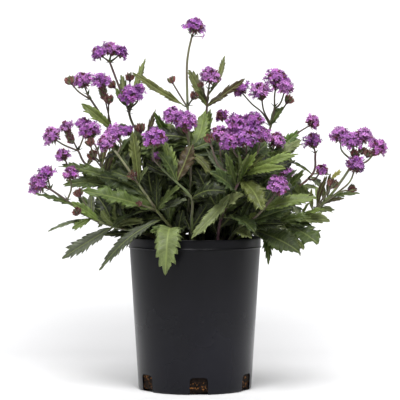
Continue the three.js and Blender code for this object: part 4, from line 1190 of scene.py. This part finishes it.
def leaf_look(g, vein_colour, vein_share, rough, lively):
    off, veins, share = g.spot()
    # Side veins: near where their count is a whole number. The midrib: near its line.
    side_vein = g.math("SUBTRACT", 1.0, g.remap(g.math("PINGPONG", veins, 0.5), 0.015, 0.085))
    from_rib = g.math("ADD", off, g.math("MULTIPLY", share, 0.35))
    midrib = g.math("SUBTRACT", 1.0, g.remap(from_rib, 0.45, 1.05))
    mask = g.math("MAXIMUM", g.math("MULTIPLY", side_vein, vein_share), midrib)
    patch = g.remap(g.noise(90, 4), 0.3, 0.7, 1 - lively, 1 + lively)
    patchy = g.node("VectorMath", operation="SCALE")
    g.feed(patchy.inputs[0], g.tint())
    g.feed(patchy.inputs["Scale"], patch)
    freckle = g.remap(g.noise(420, 2), 0.58, 0.75, 0.0, 0.35)
    base = g.mix(freckle, patchy.outputs[0], linear("#2c3a1a"))
    fine = g.math("MULTIPLY", g.noise(950, 3), 0.55)
    return dict(
        Base_Color=g.mix(g.math("MULTIPLY", mask, 0.44), base, vein_colour),
        Roughness=g.cloud(260, rough - 0.07, rough + 0.1),
        Normal=g.bump(g.math("ADD", g.math("MULTIPLY", mask, -0.6), fine), 0.7, 0.0008),
        Specular_IOR_Level=0.36, Sheen_Weight=0.05, Sheen_Roughness=0.5, Sheen_Tint=(0.8, 0.9, 0.7),
    )


def stem_look(g):
    tint = g.tint()
    streak = g.remap(g.noise(120, 3, stretch=(1, 1, 0.25)), 0.42, 0.66)
    base = g.mix(streak, tint, g.mix(0.55, tint, linear("#50303a")))
    return dict(
        Base_Color=g.mix(g.remap(g.noise(800, 2), 0.6, 0.75, 0, 0.25), base, linear("#8a9468")),
        Roughness=g.cloud(300, 0.48, 0.66),
        Normal=g.bump(g.noise(1400, 2, stretch=(1, 1, 0.4)), 0.4, 0.0004),
        Sheen_Weight=0.25, Sheen_Roughness=0.45,
    )


def petal_look(g):
    """Deep purple in the throat, paler towards the ends of the lobes."""
    tint, share = g.tint(), g.spot()[0]
    base = g.mix(g.remap(share, 0.05, 0.5), g.mix(0.55, tint, linear("#6a2480")), tint)
    pale = g.mix(0.35, tint, linear("#dcaede"))
    base = g.mix(g.math("MULTIPLY", g.remap(share, 0.55, 1.0), 0.55), base, pale)
    blotch = g.mix(0.35, tint, linear("#8c3aa8"))
    return dict(
        Base_Color=g.mix(g.remap(g.noise(700, 2), 0.45, 0.75, 0, 0.4), base, blotch),
        Roughness=g.cloud(500, 0.5, 0.68),
        Normal=g.bump(g.noise(1500, 2), 0.25, 0.0003),
        Sheen_Weight=0.3, Sheen_Roughness=0.4, Specular_IOR_Level=0.35,
    )


def calyx_look(g):
    tint = g.tint()
    return dict(
        Base_Color=g.mix(g.remap(g.noise(500, 3), 0.4, 0.7), tint, g.mix(0.5, tint, linear("#6e5a44"))),
        Roughness=g.cloud(400, 0.55, 0.75),
        Normal=g.bump(g.noise(1600, 2), 0.5, 0.0004),
        Sheen_Weight=0.35, Sheen_Roughness=0.4,
    )


def plastic_look(g):
    """Black plastic, its wall duller towards the rim and darker there, a painted shade from the foliage
    above.
    """
    height = g.parts(g.place())["Z"]
    unshaded_black = g.mix(g.remap(g.noise(9, 3), 0.35, 0.7), linear("#0c0c13"), linear("#12121b"))
    dull = g.remap(height, 0.03, 0.17, 0.2, 0.34, "LINEAR")
    speck = g.remap(g.noise(1100, 2), 0.6, 0.8, 0, 0.05)
    smear = g.remap(g.noise(22, 3), 0.35, 0.7, 0, 0.05)
    return dict(
        # Painted shade: the base colour darkens towards the rim, where the foliage shades the wall.
        Base_Color=g.mix(g.remap(height, 0.06, 0.18), unshaded_black, linear("#050509")),
        Roughness=g.math("ADD", g.math("ADD", dull, speck), smear),
        Normal=g.bump(g.noise(900, 2), 0.05, 0.0003),
        Specular_IOR_Level=0.21,
    )


def mix_look(g):
    base = g.mix(g.remap(g.noise(500, 4), 0.35, 0.65), g.tint(), linear("#0e0906"))
    return dict(
        Base_Color=g.mix(g.remap(g.noise(330, 3), 0.6, 0.66, 0, 0.9), base, linear("#9a6634")),
        Roughness=g.cloud(500, 0.85, 1.0),
        Normal=g.bump(g.noise(900, 4), 0.8, 0.0012),
        Specular_IOR_Level=0.25,
    )


def floor_look(g):
    """White, with a painted shadow: greyer in a broad patch behind the pot and a little just in front of it.
    """
    x, y, _ = g.parts(g.place())
    # Painted shadow of the plant: masks for a soft grey patch beside, behind and just in front of the pot.
    across = g.remap(g.math("ABSOLUTE", g.math("ADD", x, 0.03)), 0.42, 0.06)
    behind = g.math("MULTIPLY", g.remap(y, 0.1, 0.42), g.remap(y, 1.9, 0.4))
    before = g.remap(y, -0.05, -0.12)
    pale = g.mix(g.remap(g.noise(3, 2), 0.3, 0.7), (0.84, 0.84, 0.85), (0.86, 0.86, 0.865))
    # Painted shadow: a lighter grey just in front of the pot, a darker one behind it.
    pale = g.mix(g.math("MULTIPLY", across, before), pale, (0.72, 0.72, 0.725))
    painted_shadow = g.mix(g.math("MULTIPLY", across, behind), pale, (0.55, 0.55, 0.556))
    return dict(Base_Color=painted_shadow, Roughness=0.9, Specular_IOR_Level=0.1)


MATERIALS = {
    "leaf": material("leaf", leaf_look, linear("#8a9654"), 0.5, 0.48, 0.26),
    "leaf_under": material("leaf_under", leaf_look, linear("#a5ad80"), 0.7, 0.6, 0.12),
    "stem": material("stem", stem_look),
    "petal": material("petal", petal_look),
    "calyx": material("calyx", calyx_look),
    "plastic": material("pot_plastic", plastic_look),
    "mix": material("potting_mix", mix_look),
}


# ---------------------------------------------------------------- stems and blooms
# Leaf tints by letter. k, nearly black, is partly the leaves' own dark green and partly painted shade: the
# colour of leaves in shadow deep in the plant.
LEAF_HUES = {letter: linear(code) for letter, code in dict(
    k="#1e270c", d="#33431a", m="#485928", s="#3d5814", f="#5f7233", l="#6e7f4a", p="#667248",
    g="#5b6450", e="#474f3c", o="#535b2a", y="#88883e", b="#3f3420",
).items()}
PAIR_HUES = "kddmm"  # for the leaves of pairs, by chance
WARMER = vec(1.02, 0.96, 0.92)
PALE_UNDER = linear("#6f7a44")
STEM_GREEN = linear("#727d48")
STEM_BROWN = linear("#46352e")
# Each stem's colour at the soil and at its top, where they differ from the others'.
STEM_HUES = {name: (linear(low), linear(high)) for name, (low, high) in dict(
    front_cluster=("#84606a", "#6b7444"), left_front=("#7c8348", "#86866c"),
    front_centre=("#6c774e", "#686a48"), front_left=("#5f7038", "#6c7850"),
    right_back=("#7a4e38", "#57423a"), far_right=("#8a9858", "#6c744c"), tallest=("#6f7a55", "#6a6a4a"),
).items()}
ROOT_DEPTH = 9  # how far a stem goes down into the soil

# The share of a head's flowers that are shut, where it isn't the usual.
SHUT = {
    ("right_back", "b"): 0.75, ("right_mid", "c"): 0.6, ("right_mid", "b"): 0.4, ("right_mid", "a"): 0.35,
    ("right_back", "a"): 0.3, ("left_back", "a"): 0.3, ("left_back", "b"): 0.2, ("far_right", "c"): 0.2,
    ("front_cluster", "b"): 0.3, ("left_back", "d"): 0.3,
}
# Smaller heads that close up the cluster in front, and shut cups between the heads
# of the stem that leans out furthest: (centre, radius).
SIDE_HEADS = {("front_cluster", "a"): [((55, -57, 306), 9), ((43, -54, 315), 8)]}
SIDE_CUPS = {
    ("far_right", "a"): [((197, -12, 290), 6.5), ((207, -7, 294), 6)],
    ("far_right", "b"): [((213, -14, 290), 6)],
}


def leaf_tint(hue, rng):
    """The hue of a letter, or for a leaf of a pair one between dark and middle green."""
    hue = hue or PAIR_HUES[int(rng.integers(len(PAIR_HUES)))]
    bright, cast = rng.uniform(0.88, 1.12), rng.uniform(0.96, 1.04, 3)
    return LEAF_HUES[hue.lower()] * bright * cast * WARMER


def build_shaft(piece, path, low, high, owner):
    """The square main stem, from below the soil to its top."""
    centres = soft_path(path)
    below = centres[0] - unit(centres[1] - centres[0]) * ROOT_DEPTH
    centres = np.concatenate([[below], centres])
    share = np.linspace(0, 1, len(centres))
    radii = STEM_FOOT + (STEM_TOP * 1.3 - STEM_FOOT) * share
    brown = np.clip(share + 0.15 * np.sin(9 * share + owner), 0, 1)[:, None]
    tint = low * (1 - brown) + high * brown
    tube(piece, centres, radii, SQUARE, "stem", tint)
    return tint[0]


def build_knot(piece, path, place, tint):
    """The stem is thicker where leaves grow."""
    at, way = smooth(path, place), heading(path, place)
    r = STEM_FOOT + (STEM_TOP - STEM_FOOT) * place / (len(path) - 1)
    tube(piece, [at - way * 2.2, at, at + way * 2.2], (r * 0.8, r * 1.3, r * 0.8), SQUARE, "stem", tint)


def build_stalk(piece, shoot, owner, n, end, middle, rng):
    """A ribbed flower stalk with two bracts at its foot and three under its head."""
    line = soft_path(np.concatenate([[smooth(shoot["path"], end["place"])], end["path"][1:]]), 8)
    inner = end["path"][-1] + end["axis"] * end["radius"] * 0.2
    line = np.concatenate([line, [inner]])
    radii = np.linspace(STALK_FOOT * 1.3, STALK_TOP * 1.35, len(line))
    brown = 0.3 + 0.5 * rng.uniform()
    tube(piece, line, radii, RIBBED8, "stem", middle * (1 - brown) + STEM_BROWN * brown)
    way = unit(line[2] - line[0])
    side = unit(np.cross(way, (0.2, 0.9, 0.3)))
    for hand in (1, -1):
        length = 6 + 3 * rng.uniform()
        bract(piece, line[0], way * 1.3 + side * hand, length, 2.8, leaf_tint(None, rng), owner * 50 + n)
    neck = end["path"][-1] - end["axis"] * end["radius"] * 0.1
    for k in range(3):
        side = turned(end["axis"], 2.1 * k + owner)[:, 0]
        bract(piece, neck, side + end["axis"] * 0.5, 4 + 2 * rng.uniform(), 1.3, MAROON, n + k)


def build_stem(owner, shoot):
    rng = np.random.default_rng(4000 + owner)
    piece = Piece("leafy_stem_" + shoot["name"], ["leaf", "leaf_under", "stem", "calyx", "petal"])
    path = shoot["path"]
    low, high = STEM_HUES.get(shoot["name"], (STEM_GREEN, STEM_BROWN))
    foot_tint = build_shaft(piece, path, low, high, owner)
    on_stem = [leaf for leaf in shoot["grown"] if not isinstance(leaf.place, tuple)]
    for place in sorted({leaf.place for leaf in on_stem}):
        build_knot(piece, path, place, foot_tint * 0.9)
    for leaf in on_stem:
        leaf.base = smooth(path, leaf.place)
    for n, leaf in enumerate(shoot["grown"]):
        under = PALE_UNDER * rng.uniform(0.85, 1.15)
        grow_leaf(piece, leaf, leaf_tint(leaf.hue, rng), under, owner * 100 + n)
    for n, end in enumerate(shoot["ends"]):
        build_stalk(piece, shoot, owner, n, end, low * 0.5 + high * 0.5, rng)
        if end["bloom"] == "bud":
            bud_cluster(piece, end["centre"], end["axis"], end["radius"], owner * 40 + n)
        elif end["spike"] > 0:
            spent_spike(piece, end, owner * 60 + n)
    piece.build("stem_" + shoot["name"])


def stray_flower(piece):
    """One flower below the tallest head, on a stalk of its own."""
    root, mouth = vec(-4, 0, 434), vec(9, -2, 435)
    line = [root, (root + mouth) / 2 + vec(0, 0, 0.6), mouth]
    tube(piece, line, (0.5, 0.45, 0.7), ROUND5, "calyx", DARK_MAROON)
    out, lift = vec(1, -0.2, -0.1), unit(vec(0.7, -0.6, -0.4))
    floret(piece, mouth, out, lift, 1.4, 3.6, LILAC[2], np.random.default_rng(7), tube_too=False)


def build_bloom(owner, shoot, letter):
    name, key = shoot["name"], (shoot["name"], letter)
    piece = Piece(f"flowers_{name}_{letter}", ["petal", "calyx"])
    seed = owner * 80
    for n, end in enumerate(shoot["ends"]):
        if end["bloom"] == letter:
            shut = SHUT.get(key, USUAL_SHUT)
            Head(piece, end["centre"], end["axis"], end["radius"], seed + n + 11, shut)
    for n, (centre, radius) in enumerate(SIDE_HEADS.get(key, ())):
        Head(piece, vec(*centre), unit(vec(0, -0.5, 0.87)), radius, seed + n + 51, USUAL_SHUT)
    for n, (centre, radius) in enumerate(SIDE_CUPS.get(key, ())):
        bud_cluster(piece, vec(*centre), unit(vec(0.3, -0.2, 0.9)), radius, seed + n + 61)
    if name == "tallest":
        stray_flower(piece)
    piece.build(f"bloom_{name}_{letter}")


for owner, shoot in enumerate(SHOOTS):
    build_stem(owner, shoot)
    for letter in sorted({end["bloom"] for end in shoot["ends"]} - {"bud"}):
        build_bloom(owner, shoot, letter)


# --------------------------------------------------------------------------- the pot
def arc(r, z, radius, start, stop, steps):
    """Profile points round a centre; angles in degrees from the way outwards."""
    turns = np.radians(np.linspace(start, stop, steps))
    return [(r + radius * math.cos(t), z + radius * math.sin(t)) for t in turns]


def round_axis(x, y, turn):
    """A point turned round the pot's axis."""
    return x * math.cos(turn) - y * math.sin(turn), x * math.sin(turn) + y * math.cos(turn)


def pot_profile():
    """The pot's (radius, height) from its foot's middle up the outside and down again."""
    taper = (SHOULDER - FOOT_RADIUS) / (BAND_FOOT - 3)
    ledge, crest, inside = RIM_RADIUS - 1.0, POT_HEIGHT - 0.6, SHOULDER - WALL
    return [
        (0, 0.6), (30, 0.6), (FOOT_RADIUS - 7, 0.5), *arc(FOOT_RADIUS - 3, 3, 3, -90, 0, 6),
        *[(FOOT_RADIUS + taper * (z - 3), z) for z in range(20, 170, 15)],
        (SHOULDER - 0.05, BAND_FOOT - 0.6), (SHOULDER + 0.5, BAND_FOOT),
        *arc(RIM_RADIUS - 0.7, BAND_FOOT + 0.9, 0.75, -70, 75, 5),
        (ledge, BAND_FOOT + 2.3), (ledge, BAND_FOOT + 3.2), (RIM_RADIUS - 0.8, POT_HEIGHT - 3),
        *arc(RIM_RADIUS - 1.4, crest, 0.6, 0, 180, 7), (RIM_RADIUS - 2.05, POT_HEIGHT - 2),
        (inside + 0.3, BAND_FOOT + 2), (inside, BAND_FOOT - 2),
        (FOOT_RADIUS - WALL, 4), (FOOT_RADIUS - WALL - 3, FLOOR), (0, FLOOR),
    ]


def lathe_mesh(name, profile, sides):
    points, faces, index = [], [], []
    for r, z in profile:
        if r < 1e-6:
            index.append([len(points)] * sides)
            points.append((0, 0, z * MM))
            continue
        index.append(list(range(len(points), len(points) + sides)))
        for k in range(sides):
            a = ROUND * (k + 0.5) / sides
            points.append((r * MM * math.cos(a), r * MM * math.sin(a), z * MM))
    for a, b in zip(index, index[1:]):
        for k in range(sides):
            j = (k + 1) % sides
            face = list(dict.fromkeys([a[k], a[j], b[j], b[k]]))
            if len(face) > 2:
                faces.append(face)
    mesh = bpy.data.meshes.new(name)
    mesh.from_pydata(points, [], faces)
    return mesh


def drain_mesh(name):
    """One arched prism for each drainage hole, standing across the foot's corner."""
    half, spring = DRAIN_WIDTH / 2, DRAIN_HEIGHT - DRAIN_CORNER
    outline = [(half, -1), *arc(half - DRAIN_CORNER, spring, DRAIN_CORNER, 0, 90, 6)]
    outline += [*arc(DRAIN_CORNER - half, spring, DRAIN_CORNER, 90, 180, 6), (-half, -1)]
    points, faces, m = [], [], len(outline)
    for n in range(DRAIN_HOLES):
        first = len(points)
        for y in (-FOOT_RADIUS - 4, DRAIN_DEPTH - FOOT_RADIUS):
            for x, z in outline:
                across, along_y = round_axis(x, y, DRAIN_TURN + ROUND * n / DRAIN_HOLES)
                points.append((across * MM, along_y * MM, z * MM))
        faces += grid(2, m, first)
        faces += [range(first + m - 1, first - 1, -1), range(first + m, first + 2 * m)]
    mesh = bpy.data.meshes.new(name)
    mesh.from_pydata(points, [], faces)
    return mesh


def face_outwards(mesh):
    work = bmesh.new()
    work.from_mesh(mesh)
    bmesh.ops.recalc_face_normals(work, faces=work.faces)
    work.to_mesh(mesh)
    work.free()


def build_pot():
    pot = place_in_scene("nursery_pot", lathe_mesh("nursery_pot", pot_profile(), POT_SIDES))
    cutter = place_in_scene("cutter", drain_mesh("cutter"))
    face_outwards(cutter.data)
    face_outwards(pot.data)
    cut = pot.modifiers.new("drain_holes", "BOOLEAN")
    cut.operation, cut.object, cut.solver = "DIFFERENCE", cutter, "EXACT"
    bpy.context.view_layer.update()
    shaped = bpy.data.meshes.new_from_object(pot.evaluated_get(bpy.context.evaluated_depsgraph_get()))
    pot.modifiers.clear()
    pot.data = shaped
    bpy.data.objects.remove(cutter)
    shaped.polygons.foreach_set("use_smooth", [True] * len(shaped.polygons))
    shaped.set_sharp_from_angle(angle=math.radians(35))
    shaped.materials.clear()
    shaped.materials.append(MATERIALS["plastic"])
    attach(pot, "root")
    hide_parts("pot")


build_pot()

# ----------------------------------------------------------------------- potting mix
MIX_SIDES = 120
MIX_FOOT = 2.3
MIX_DARK = linear("#22160f")
EARTH = [linear(code) for code in ("#2a1a12", "#1a110b", "#5a3a22", "#a06c38", "#46301f", "#0f0a07")]
CRUMB = [(1, 0, 0), (-1, 0, 0), (0, 1, 0), (0, -1, 0), (0, 0, 1), (0, 0, -1)]
CRUMB_FACES = [(0, 2, 4), (2, 1, 4), (1, 3, 4), (3, 0, 4), (2, 0, 5), (1, 2, 5), (3, 1, 5), (0, 3, 5)]
TOP_CRUMBS = 900
DRAIN_CRUMBS = 60


def mix_radius(z):
    return FOOT_RADIUS - WALL + (z - 4) / (BAND_FOOT - 4) * (SHOULDER - FOOT_RADIUS) - 0.4


def lumpy_body(mix, rng):
    """The mix as it stands in the pot, its surface uneven."""
    top = mix_radius(SOIL_LEVEL)
    profile = [(0, MIX_FOOT), (30, MIX_FOOT), (FOOT_RADIUS - WALL - 3.4, MIX_FOOT)]
    profile += [(mix_radius(z), z) for z in np.linspace(4.4, SOIL_LEVEL - 0.6, 30)]
    profile += [(r, SOIL_LEVEL) for r in np.linspace(top - 1, 6, 22)] + [(0, SOIL_LEVEL)]
    points = []
    for r, z in profile:
        for k in range(MIX_SIDES):
            a = ROUND * k / MIX_SIDES
            x, y = r * math.cos(a), r * math.sin(a)
            lump = math.sin(0.9 * x + 1.7 * math.sin(0.5 * y)) * math.cos(0.8 * y + z * 0.7)
            lump += 0.6 * rng.uniform(-1, 1)
            if z > SOIL_LEVEL - 0.5:
                points.append((x, y, z + 1.1 * lump + 0.6))
            else:
                shrink = 1 - (0.45 + 0.45 * lump) / max(r, 1) if r > 40 else 1
                points.append((x * shrink, y * shrink, z))
    mix.add(points, grid(len(profile), MIX_SIDES), "mix", MIX_DARK)


def crumb(mix, at, size, rng):
    shape = np.array(CRUMB) * rng.uniform(0.5, 1.2, (6, 3)) * size * rng.uniform(0.5, 1.3, 3)
    turn = turned(unit(rng.normal(size=3)), rng.uniform(0, ANY_TURN))
    tint = EARTH[int(rng.integers(len(EARTH)))] * rng.uniform(0.7, 1.3)
    mix.add(at + shape @ turn.T, CRUMB_FACES, "mix", tint)


def build_mix():
    rng = np.random.default_rng(77)
    mix = Piece("soil", ["mix"])
    lumpy_body(mix, rng)
    for _ in range(TOP_CRUMBS):
        r, a = (mix_radius(SOIL_LEVEL) - 3) * math.sqrt(rng.uniform()), rng.uniform(0, ROUND)
        at = vec(r * math.cos(a), r * math.sin(a), SOIL_LEVEL + rng.uniform(0, 2))
        crumb(mix, at, rng.uniform(0.8, 2.4), rng)
    reach = DRAIN_WIDTH / 2 - 1.2
    for n in range(DRAIN_HOLES):
        turn = DRAIN_TURN + ROUND * n / DRAIN_HOLES - math.pi / 2
        for _ in range(DRAIN_CRUMBS):
            x, z = rng.uniform(-reach, reach), rng.uniform(2.6, DRAIN_HEIGHT - 2.4)
            r = mix_radius(z) - rng.uniform(0.2, 1.4)
            at = vec(*round_axis(math.sqrt(r * r - x * x), x, turn), z)
            crumb(mix, at, rng.uniform(0.7, 1.7), rng)
    mix.build("potting_mix")


build_mix()


# ------------------------------------------------------- floor, light and camera
def build_floor():
    """A level floor that sweeps up behind the plant, there only as wide as the picture."""
    level_end, bend, top, columns = 1.4, 0.9, 3.2, 9
    line = [(-3.5, 0.0), (level_end, 0.0)]
    for t in np.radians(np.linspace(6, 90, 15)):
        line.append((level_end + bend * math.sin(t), bend - bend * math.cos(t)))
    line.append((level_end + bend, top))
    points = [(x * (3 if z == 0 else 0.9), y, z) for y, z in line for x in np.linspace(-1, 1, columns)]
    mesh = bpy.data.meshes.new("studio_floor")
    mesh.from_pydata(points, [], grid(len(line), columns, ring=False))
    mesh.polygons.foreach_set("use_smooth", [True] * len(mesh.polygons))
    # The floor's material carries a painted shadow round the pot.
    mesh.materials.append(material("studio_white_painted_shadow", floor_look))
    floor = place_in_scene("studio_floor", mesh)


def look_at(thing, aim):
    thing.rotation_euler = (Vector(aim) - thing.location).to_track_quat("-Z", "Y").to_euler()


# Area lights: (name, place, aim, width, height, watts), lengths in metres.
LIGHTS = [
    ("softbox_key", (0.06, -1.1, 1.9), (0, 0, 0.2), 1.3, 1.1, 50),
    ("softbox_top", (-0.1, 0.1, 1.6), (0, 0, 0.2), 1.2, 1.2, 12),
    ("softbox_left", (-1.25, 0.5, 0.65), (0, 0, 0.25), 0.5, 1.0, 1.5),
    ("softbox_right", (1.25, 0.55, 0.65), (0, 0, 0.25), 0.5, 1.0, 3.2),
    ("backdrop_wash", (0, 1.3, 1.6), (0, 2.3, 1.0), 2.4, 0.4, 22),
]


def build_light(name, place, aim, width, height, watts):
    light = bpy.data.lights.new(name, "AREA")
    light.shape, light.size, light.size_y, light.energy = "RECTANGLE", width, height, watts
    lamp = place_in_scene(name, light)
    lamp.location = place
    look_at(lamp, aim)


def build_world():
    """A room that is dim on the side that the photographer stands on."""
    world = bpy.data.worlds.new("studio")
    g = Graph(world, "Background", "OutputWorld")
    y = g.parts(g.place("Generated"))["Y"]
    dim, bright = 0.2, 0.42
    g.set(Color=(1, 1, 1), Strength=g.remap(y, -0.8, 0.9, dim, bright, "LINEAR"))
    bpy.context.scene.world = world


# The camera, its place and aim in metres, its lens and sensor in millimetres.
CAMERA_PLACE, CAMERA_AIM = (0.002, -2.2, 0.291), (0.0063, 0, 0.233)
CAMERA_LENS, CAMERA_SENSOR = 160, 36


def build_camera():
    lens = bpy.data.cameras.new("camera")
    lens.sensor_width, lens.lens = CAMERA_SENSOR, CAMERA_LENS
    camera = place_in_scene("camera", lens)
    camera.location = CAMERA_PLACE
    look_at(camera, CAMERA_AIM)
    bpy.context.scene.camera = camera


build_floor()
for light in LIGHTS:
    build_light(*light)
build_world()
build_camera()
bpy.context.scene.view_settings.view_transform = "Standard"
